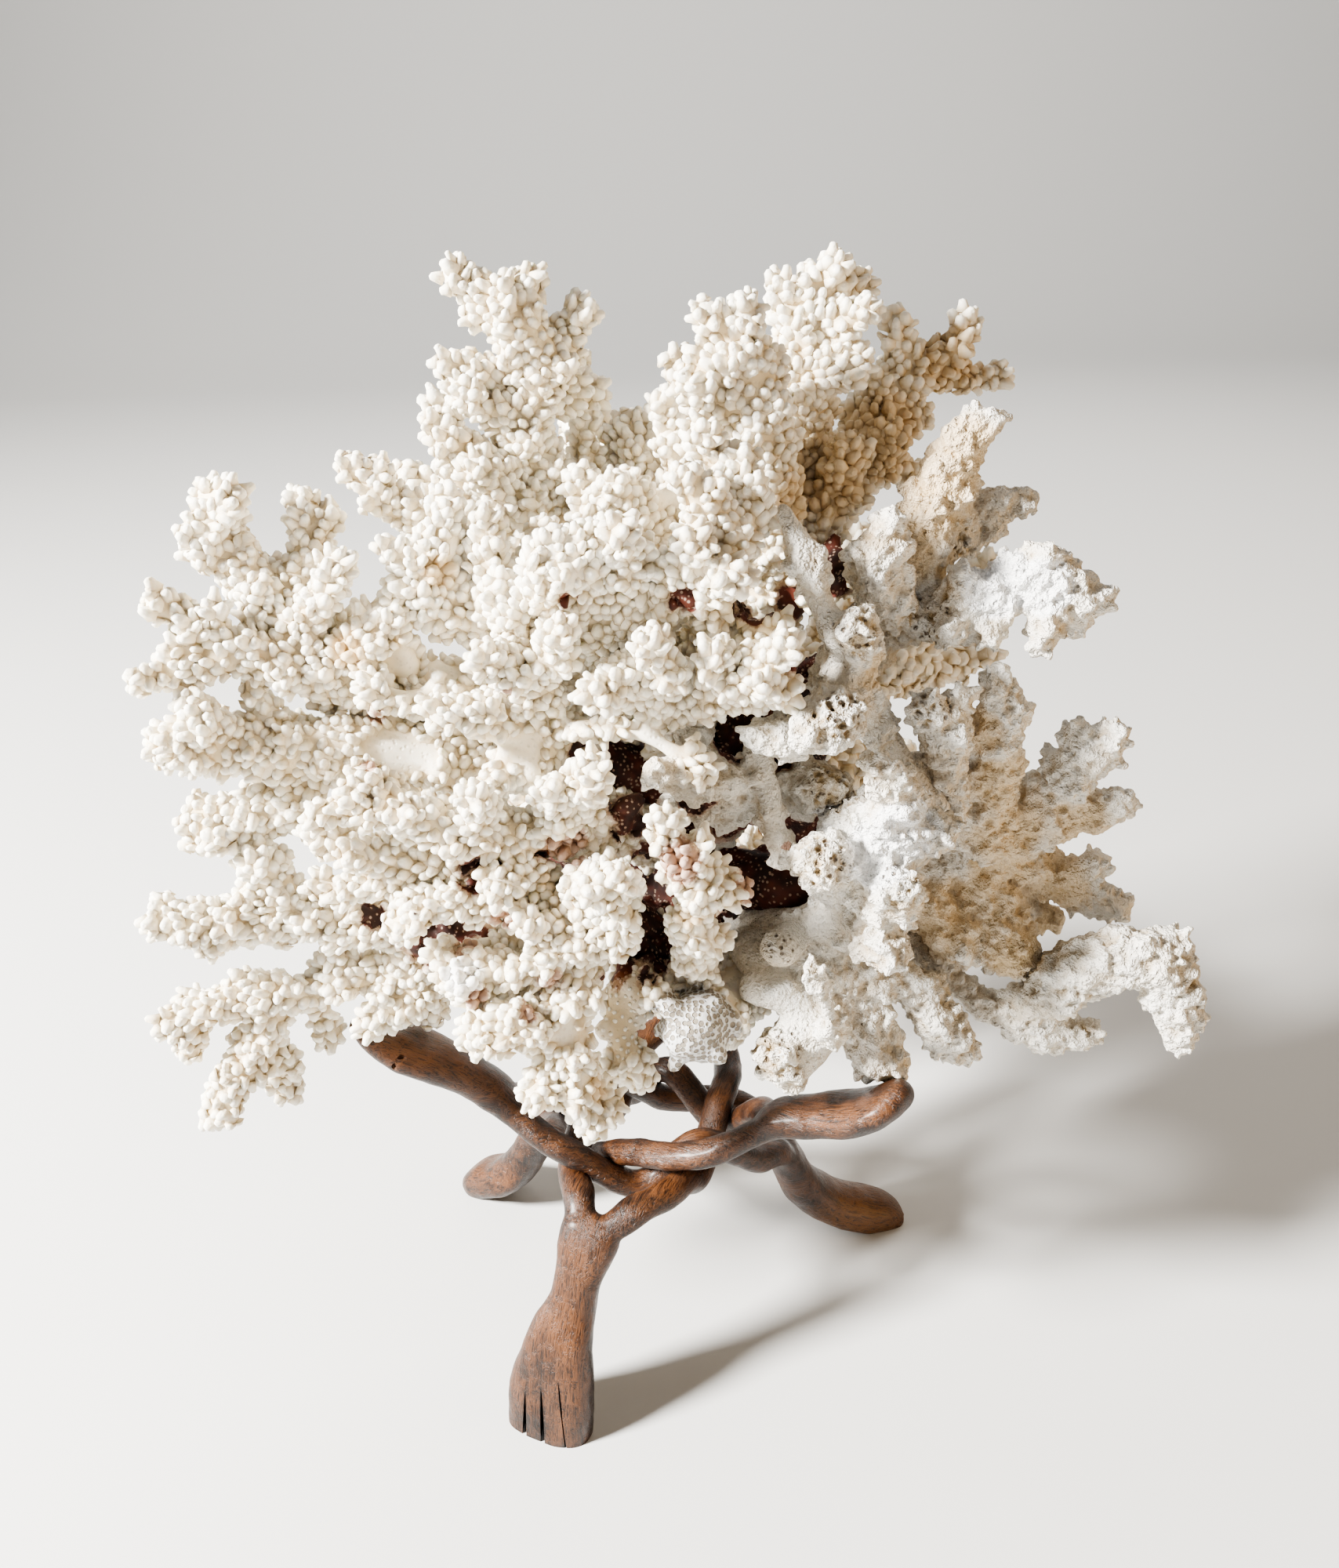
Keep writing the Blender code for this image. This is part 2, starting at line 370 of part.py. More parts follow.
        ((52, 76, 138, 4.5), (40, 90, 134, 3.5)),
        ((32, 46, 136, 7), (60, 40, 130, 6.5), (84, 42, 124, 5.5), (102, 40, 122, 4)),
    ),
}

# Limbs that are worn chalky, and the trunk, which is stained; the others are clean and creamy.
CHALKY = ("bottom_right", "right_high", "right_mid", "right_low", "bone_front")


def clear_scene():
    for obj in list(bpy.data.objects):
        bpy.data.objects.remove(obj, do_unlink=True)


def principled(name, colour, roughness):
    material = bpy.data.materials.new(name)
    material.use_nodes = True
    shader = material.node_tree.nodes["Principled BSDF"]
    shader.inputs["Base Color"].default_value = colour
    shader.inputs["Roughness"].default_value = roughness
    shader.inputs["Metallic"].default_value = 0.0
    material.diffuse_color = colour
    return material


def smooth_path(rows, step):
    """Rows of numbers, resampled about every step mm of their first three along a smooth curve."""
    rows = np.array(rows, float)
    padded = np.vstack([2 * rows[0] - rows[1], rows, 2 * rows[-1] - rows[-2]])
    out = []
    for i in range(1, len(padded) - 2):
        p0, p1, p2, p3 = padded[i - 1 : i + 3]
        parts = max(1, round(float(np.linalg.norm(p2[:3] - p1[:3])) / step))
        for j in range(parts):
            t = j / parts
            out.append(
                0.5 * (2 * p1 + (p2 - p0) * t + (2 * p0 - 5 * p1 + 4 * p2 - p3) * t**2
                       + (3 * p1 - p0 - 3 * p2 + p3) * t**3)
            )
    out.append(rows[-1])
    return np.array(out)


def add_sweep(bm, rows, across=None, sides=TUBE_SIDES):
    """Adds a closed sweep to bm. A row is (x, y, z, radius), or (x, y, z, width, thickness) in mm.

    across is the direction of the width; without it the section is round.
    """
    centres = [Vector(row[:3]) for row in rows]
    side = Vector(across or ANY_SIDE)
    rings = []
    for i, row in enumerate(rows):
        along = (centres[min(i + 1, len(rows) - 1)] - centres[max(i - 1, 0)]).normalized()
        side = (side - along * side.dot(along)).normalized()
        up = along.cross(side)
        half_width, half_depth = (row[3] / 2, row[4] / 2) if across else (row[3], row[3])
        ring = []
        for k in range(sides):
            turn = 2 * math.pi * k / sides
            point = centres[i] + side * half_width * math.cos(turn) + up * half_depth * math.sin(turn)
            ring.append(bm.verts.new(point * MM))
        rings.append(ring)
        if across:
            side = Vector(across)
    for lower, upper in zip(rings, rings[1:]):
        for k in range(sides):
            bm.faces.new((lower[k], lower[(k + 1) % sides], upper[(k + 1) % sides], upper[k]))
    bm.faces.new(tuple(reversed(rings[0])))
    bm.faces.new(tuple(rings[-1]))


def add_lump(bm, centre, radius):
    placed = bmesh.ops.create_icosphere(bm, subdivisions=1, radius=radius * MM)
    bmesh.ops.translate(bm, verts=placed["verts"], vec=centre * MM)


def new_object(name, bm, material):
    mesh = bpy.data.meshes.new(name)
    bmesh.ops.recalc_face_normals(bm, faces=bm.faces)
    bm.to_mesh(mesh)
    bm.free()
    mesh.materials.append(material)
    obj = bpy.data.objects.new(name, mesh)
    bpy.context.scene.collection.objects.link(obj)
    return obj


def apply_modifiers(obj):
    """Swaps the object's mesh for the one its modifiers make."""
    bpy.context.view_layer.update()
    graph = bpy.context.evaluated_depsgraph_get()
    made = bpy.data.meshes.new_from_object(obj.evaluated_get(graph), depsgraph=graph)
    obj.modifiers.clear()
    old, obj.data = obj.data, made
    made.name = obj.name
    bpy.data.meshes.remove(old)


def add_skin(obj, voxel):
    """One skin round everything in the object."""
    remesh = obj.modifiers.new("Fuse", "REMESH")
    remesh.mode = "VOXEL"
    remesh.voxel_size = voxel * MM
    apply_modifiers(obj)


def thin_out(obj, faces):
    """Brings the object down to about this many triangles."""
    triangles = sum(len(face.vertices) - 2 for face in obj.data.polygons)
    thin = obj.modifiers.new("Thin", "DECIMATE")
    thin.ratio = min(1.0, faces / triangles)
    thin.use_collapse_triangulate = True
    apply_modifiers(obj)


def area_cm2(obj):
    return sum(face.area for face in obj.data.polygons) / (MM * 10) ** 2


def keep_largest_body(obj):
    """Closes up the slivers that a cut can leave, and drops its crumbs and pockets."""
    bm = bmesh.new()
    bm.from_mesh(obj.data)
    bmesh.ops.remove_doubles(bm, verts=bm.verts, dist=SLIVER * MM)
    bmesh.ops.dissolve_degenerate(bm, edges=bm.edges, dist=SLIVER * MM)
    bmesh.ops.triangulate(bm, faces=bm.faces)
    unseen = set(bm.faces)
    bodies = []
    while unseen:
        found = [unseen.pop()]
        for face in found:
            for edge in face.edges:
                for other in edge.link_faces:
                    if other in unseen:
                        unseen.remove(other)
                        found.append(other)
        size = sum(
            face.calc_center_median().dot(face.normal) * face.calc_area() for face in found
        )
        bodies.append((size, found))
    bodies.sort(key=lambda body: body[0])
    for _, found in bodies[:-1]:
        bmesh.ops.delete(bm, geom=found, context="FACES")
    bm.to_mesh(obj.data)
    bm.free()


def box_of(obj):
    corners = np.array([vert.co[:] for vert in obj.data.vertices])
    return corners.min(axis=0), corners.max(axis=0)


def boxes_meet(a, b):
    (low_a, high_a), (low_b, high_b) = box_of(a), box_of(b)
    return bool((low_a < high_b).all() and (low_b < high_a).all())


def triangles_of(obj):
    """A search tree of the object's triangles, and the corners of each."""
    bm = bmesh.new()
    bm.from_mesh(obj.data)
    bmesh.ops.triangulate(bm, faces=bm.faces)
    tree = BVHTree.FromBMesh(bm)
    corners = [{vert.index for vert in face.verts} for face in bm.faces]
    bm.free()
    return tree, corners


def is_sound(obj):
    """Whether the object's mesh is closed, faces out and doesn't cross itself."""
    bm = bmesh.new()
    bm.from_mesh(obj.data)
    closed = all(edge.is_manifold and edge.is_contiguous for edge in bm.edges)
    volume = bm.calc_volume(signed=True)
    bm.free()
    if not closed or volume <= 0:
        return False
    tree, corners = triangles_of(obj)
    return all(a == b or corners[a] & corners[b] for a, b in tree.overlap(tree))


def cut_clear(obj, neighbours):
    """Cuts the object back out of its neighbours' envelopes; says whether that worked."""
    for other, cutter in neighbours:
        if not boxes_meet(obj, cutter):
            continue
        whole = obj.data.copy()
        for solver in ("EXACT", "MANIFOLD"):
            obj.data = whole.copy()
            cut = obj.modifiers.new("Clear", "BOOLEAN")
            cut.operation = "DIFFERENCE"
            cut.solver = solver
            cut.object = cutter
            apply_modifiers(obj)
            keep_largest_body(obj)
            sound = is_sound(obj) and not triangles_of(obj)[0].overlap(triangles_of(other)[0])
            if sound:
                break
        if not sound:
            return False
    return True


def finish(obj, voxels, faces_per_cm2, neighbours):
    """Puts one skin round the object, thins it out and cuts it clear of its neighbours."""
    loose = obj.data
    for voxel, share in itertools.product(voxels, FACE_SHARES):
        obj.data = loose.copy()
        add_skin(obj, voxel)
        keep_largest_body(obj)
        thin_out(obj, area_cm2(obj) * faces_per_cm2 * share)
        if is_sound(obj) and cut_clear(obj, neighbours):
            return
    raise RuntimeError(obj.name + " can't be cut clear of its neighbours")


def shade(obj, angle=50.0):
    obj.data.shade_smooth()
    obj.data.set_sharp_from_angle(angle=math.radians(angle))


def plan_direction(degrees):
    turn = math.radians(degrees)
    return Vector((math.cos(turn), math.sin(turn), 0.0))


def loop_side(angle, side, count=240):
    """Plan of one strand as (distance along the loop, x, y): one side of a pointed oval."""
    along, beside = plan_direction(angle), plan_direction(angle + 90)
    rows = []
    for t in np.linspace(-LOOP_HALF_LENGTH, LOOP_HALF_LENGTH, count):
        bulge = 1 - (abs(t) / LOOP_HALF_LENGTH) ** 4
        offset = LOOP_END_HALF_WIDTH + (LOOP_HALF_WIDTH - LOOP_END_HALF_WIDTH) * bulge
        point = LOOP_CENTRE + along * t + beside * side * offset
        rows.append((t, point.x, point.y))
    return np.array(rows)


def crossing(strand, other):
    """How far along a strand it comes closest to a strand of another leg."""
    apart = np.linalg.norm(strand[:, None, 1:] - other[None, :, 1:], axis=2)
    return strand[np.unravel_index(apart.argmin(), apart.shape)[0], 0]


def strand_rows(angle, next_angle, last_angle, side, drop, rise):
    """Centre line of one strand. On the left it goes over and then under inside the loop."""
    plan = loop_side(angle, side)
    other = {(leg, way): loop_side(leg, way) for leg in (next_angle, last_angle) for way in (1, -1)}
    outer, inner = (last_angle, next_angle) if side < 0 else (next_angle, last_angle)
    outer_low = crossing(plan, other[outer, side])
    inner_low = crossing(plan, other[inner, -side])
    inner_high = crossing(plan, other[outer, -side])
    outer_high = crossing(plan, other[inner, side])
    over = WEAVE * side
    knots = [(-LOOP_HALF_LENGTH, drop), (outer_low, OUTER_SHARE * drop), (inner_low, over),
             (inner_high, -over), (outer_high, OUTER_SHARE * rise), (LOOP_HALF_LENGTH, rise)]
    rows = []
    for t, height in smooth_path(knots, STRAND_STEP):
        x, y = (float(np.interp(t, plan[:, 0], plan[:, axis])) for axis in (1, 2))
        rows.append((x, y, LOOP_CENTRE.z + height, STRAND_WIDTH, STRAND_DEPTH))
    return rows


def make_leg(name, material, neighbours):
    """One leg: foot, two strands round the slot, and head, carved from one length of wood."""
    place = LEG_ORDER.index(name)
    angle, next_angle, last_angle = (LEGS[LEG_ORDER[(place + i) % 3]][0] for i in (0, 1, 2))
    _, (drop, rise), foot, head = LEGS[name]
    beside = plan_direction(angle + 90)
    bm = bmesh.new()
    for side in (1, -1):
        add_sweep(bm, strand_rows(angle, next_angle, last_angle, side, drop, rise), beside)
    for rows in (foot, head):
        add_sweep(bm, smooth_path(rows, END_STEP), beside, END_SIDES)
    leg = new_object(name, bm, material)
    finish(leg, WOOD_VOXELS, WOOD_FACES_PER_CM2, neighbours)
    cut_flat(leg)
    return leg


def envelope(obj):
    """A cutter that takes in the object and CLEARANCE all round it."""
    bm = bmesh.new()
    for step in itertools.product((-1, 0, 1), repeat=3):
        if any(step):
            before = len(bm.verts)
            bm.from_mesh(obj.data)
            bm.verts.ensure_lookup_table()
            bmesh.ops.translate(bm, verts=bm.verts[before:], vec=Vector(step).normalized() * CLEARANCE * MM)
    cutter = new_object("envelope", bm, obj.data.materials[0])
    cutter.hide_render = True
    cutter.display_type = "WIRE"
    add_skin(cutter, CUTTER_VOXEL)
    keep_largest_body(cutter)
    dense, faces = cutter.data, area_cm2(cutter) * CUTTER_FACES_PER_CM2
    for share in FACE_SHARES:
        cutter.data = dense.copy()
        thin_out(cutter, faces * share)
        if is_sound(cutter) and not triangles_of(cutter)[0].overlap(triangles_of(obj)[0]):
            break
    return cutter


def cut_flat(obj):
    """Cuts off what is under the surface that the stand rests on."""
    bm = bmesh.new()
    bm.from_mesh(obj.data)
    cut = bmesh.ops.bisect_plane(
        bm, geom=bm.verts[:] + bm.edges[:] + bm.faces[:], plane_co=(0, 0, 0), plane_no=(0, 0, 1),
        clear_inner=True,
    )
    rim = [item for item in cut["geom_cut"] if isinstance(item, bmesh.types.BMEdge)]
    bmesh.ops.holes_fill(bm, edges=rim, sides=0)
    bmesh.ops.recalc_face_normals(bm, faces=bm.faces)
    bm.to_mesh(obj.data)
    bm.free()


def lumps_along(branch, rng):
    """Lumps wound round a branch in a spiral, as (centre, radius), with a cluster at its tip."""
    rows = smooth_path(branch, LUMP_SPACING * 0.5)
    lumps = []
    turn = rng.uniform(0, 2 * math.pi)
    golden = math.pi * (3 - math.sqrt(5))
    side = Vector(ANY_SIDE)
    for i in range(1, len(rows)):
        centre, radius = Vector(rows[i][:3]), rows[i][3]
        along = (centre - Vector(rows[i - 1][:3])).normalized()
        across = (side - along * side.dot(along)).normalized()
        up = along.cross(across)
        for _ in range(max(1, round(radius / LUMPS_SPREAD))):
            turn += golden
            out = across * math.cos(turn) + up * math.sin(turn) + along * TIPWARD
            size = LUMP_RADIUS * rng.uniform(0.75, 1.15) * min(1.0, 0.45 + radius / 9)
            lumps.append((centre + out * (radius + LUMP_STAND_OUT - size * 0.35), size))
    tip = Vector(rows[-1][:3])
    lumps.append((tip + along * rows[-1][3] * 0.6, min(TIP_LUMP_RADIUS, rows[-1][3] * 0.9)))
    return lumps


def make_limb(name, branches, swell, material, rng, neighbours):
    """One limb of the colony: every branch a tapered tube, with its lumps, under one skin."""
    bm = bmesh.new()
    for branch in branches:
        branch = [(*row[:3], row[3] + swell) for row in branch]
        add_sweep(bm, smooth_path(branch, TUBE_STEP))
        for centre, radius in lumps_along(branch, rng):
            add_lump(bm, centre, radius)
    limb = new_object(name, bm, material)
    finish(limb, CORAL_VOXELS, CORAL_FACES_PER_CM2, neighbours)
    return limb


def centre_in_plan(pieces):
    """Moves all the pieces together, so that the middle of their plan is at the origin."""
    boxes = [box_of(obj) for obj in pieces]
    low = np.min([box[0] for box in boxes], axis=0)
    high = np.max([box[1] for box in boxes], axis=0)
    shift = Matrix.Translation((-(low[0] + high[0]) / 2, -(low[1] + high[1]) / 2, 0.0))
    for obj in pieces:
        obj.data.transform(shift)


def main():
    clear_scene()
    wood = principled("waxed_brown_wood", BROWN_WOOD, 0.42)
    stained = principled("stained_coral", STAINED, 0.75)
    cream = principled("cream_coral", CREAM, 0.6)
    chalk = principled("chalky_coral", CHALK, 0.85)
    made = []
    for name in LEG_ORDER:
        leg = make_leg(name, wood, made)
        made.append((leg, envelope(leg)))
    for index, (name, branches) in enumerate(LIMBS.items()):
        if name == "trunk":
            node, swell, material = "coral_trunk", 0.0, stained
        elif name in CHALKY:
            node, swell, material = "coral_limb_" + name, CHALK_SWELL, chalk
        else:
            node, swell, material = "coral_limb_" + name, CREAM_SWELL, cream
        limb = make_limb(node, branches, swell, material, np.random.default_rng(SEED + index), made)
        made.append((limb, envelope(limb)))
    for obj, cutter in made:
        bpy.data.objects.remove(cutter, do_unlink=True)
        shade(obj)
    centre_in_plan([obj for obj, _ in made])


main()
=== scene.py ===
"""Looks of a branching stony coral resting on a carved stand of three interlinked wooden legs.

Every CAD node is replaced by one finished piece. The coral's limbs are grown again over the same
branches with their nubs, beads and pits; the legs are swept again finer and carved. Measures are in
millimetres from the middle of the feet, and PLAN_SHIFT takes them to the frame's origin.
"""

import logging
import math
from dataclasses import dataclass, field
from enum import Enum

import bpy
import numpy as np
from mathutils import Matrix, Vector, noise
from mathutils.bvhtree import BVHTree


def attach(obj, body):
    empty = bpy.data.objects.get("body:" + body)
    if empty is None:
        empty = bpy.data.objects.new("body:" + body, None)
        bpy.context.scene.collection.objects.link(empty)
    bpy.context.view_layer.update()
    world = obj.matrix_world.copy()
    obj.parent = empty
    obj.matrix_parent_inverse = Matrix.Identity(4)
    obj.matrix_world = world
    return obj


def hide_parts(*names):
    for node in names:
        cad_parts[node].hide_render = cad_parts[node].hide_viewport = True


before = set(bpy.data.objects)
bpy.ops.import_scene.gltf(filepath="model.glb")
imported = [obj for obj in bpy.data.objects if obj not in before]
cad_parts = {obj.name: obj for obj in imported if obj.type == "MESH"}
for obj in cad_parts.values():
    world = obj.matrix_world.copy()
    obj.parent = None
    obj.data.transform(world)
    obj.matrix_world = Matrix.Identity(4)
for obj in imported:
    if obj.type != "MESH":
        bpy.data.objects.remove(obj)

LOG = logging.getLogger("coral")
MM = 0.001
PLAN_SHIFT = np.array([-19.951, -15.187, 0.0])
LUMP_SEED = 11
ANY_SIDE = (0.31, 0.87, 0.38)

Rows = np.ndarray
Colour = tuple[float, float, float, float]
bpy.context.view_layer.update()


class Surface(Enum):
    """How a limb's skin has kept."""

    NUBBY = "nubby"
    WORN = "worn"
    STAINED = "stained"


class Mark(Enum):
    """What a patch of the coral shows apart from its common skin; the dark of pores, honeycomb cups and
    holes is painted shade, and tan is partly painted warm shade.
    """

    STAIN = "stain"
    RUST = "rust"
    TAN = "tan"
    WHITE = "white"
    PORES = "pores"
    HONEYCOMB = "honeycomb"
    BARE = "bare"
    BEADS = "beads"
    HOLE = "hole"


# Each leg: plan direction from foot to head in degrees; how far its loop drops to the foot and rises
# to the head; then the foot's and the head's centre line as (x, y, z, width, thickness).
LEGS = {
    "stand_leg_front": (
        68.0, (1, 10),
        ((-28, -62, -6, 27, 13), (-27.5, -61, 3, 28, 14), (-26, -60, 14, 28, 14), (-23, -57, 30, 22, 13.5),
         (-18.5, -52, 42, 15.5, 13), (-16, -49, 51, 15, 12.5), (-13, -45.5, 60, 18.5, 11.5),
         (-9, -42.5, 68.5, 19.5, 9)),
        ((25, 38, 78, 19.5, 9), (29, 46, 87, 15, 11), (33, 53, 98, 13, 11), (37, 60, 109, 18, 11),
         (41, 68, 115, 23, 10), (46, 79, 118, 19, 9), (50, 87, 119, 10, 7)),
    ),
    "stand_leg_right": (
        191.5, (-15, 14),
        ((93, 23, -2, 15, 12), (88, 21.5, 3.5, 18, 13), (79, 19, 7.5, 20, 14), (67, 15.5, 16, 18, 14),
         (58, 12, 28, 16, 13.5), (53.5, 9, 40, 16.5, 12), (50, 7, 52.5, 19.5, 9)),
        ((-34, -11, 82.5, 19.5, 9), (-41, -12.5, 92, 17, 11), (-50, -14, 102, 18, 11),
         (-60, -16, 110.5, 23, 11), (-69, -18, 117, 24, 10), (-76, -19.5, 123, 18, 8),
         (-81, -21, 127.5, 8, 6)),
    ),
    "stand_leg_left": (
        321.0, (-17, 20),
        ((-62, 46.5, 0.5, 15, 11), (-57, 43, 6, 19, 13), (-48, 37, 13, 20, 14), (-41, 33, 24, 16, 13),
         (-35, 30, 36, 15, 12), (-28.5, 27, 48, 19, 11), (-25.5, 25, 51.5, 19.5, 9)),
        ((41, -29, 87.5, 19.5, 9), (47, -32, 95, 17, 11), (56, -36, 99, 17, 11), (66, -41, 103.5, 21, 11),
         (73, -45, 108.5, 22, 10), (78, -48.5, 114.5, 17, 9), (80.5, -50.5, 119, 10, 7)),
    ),
}

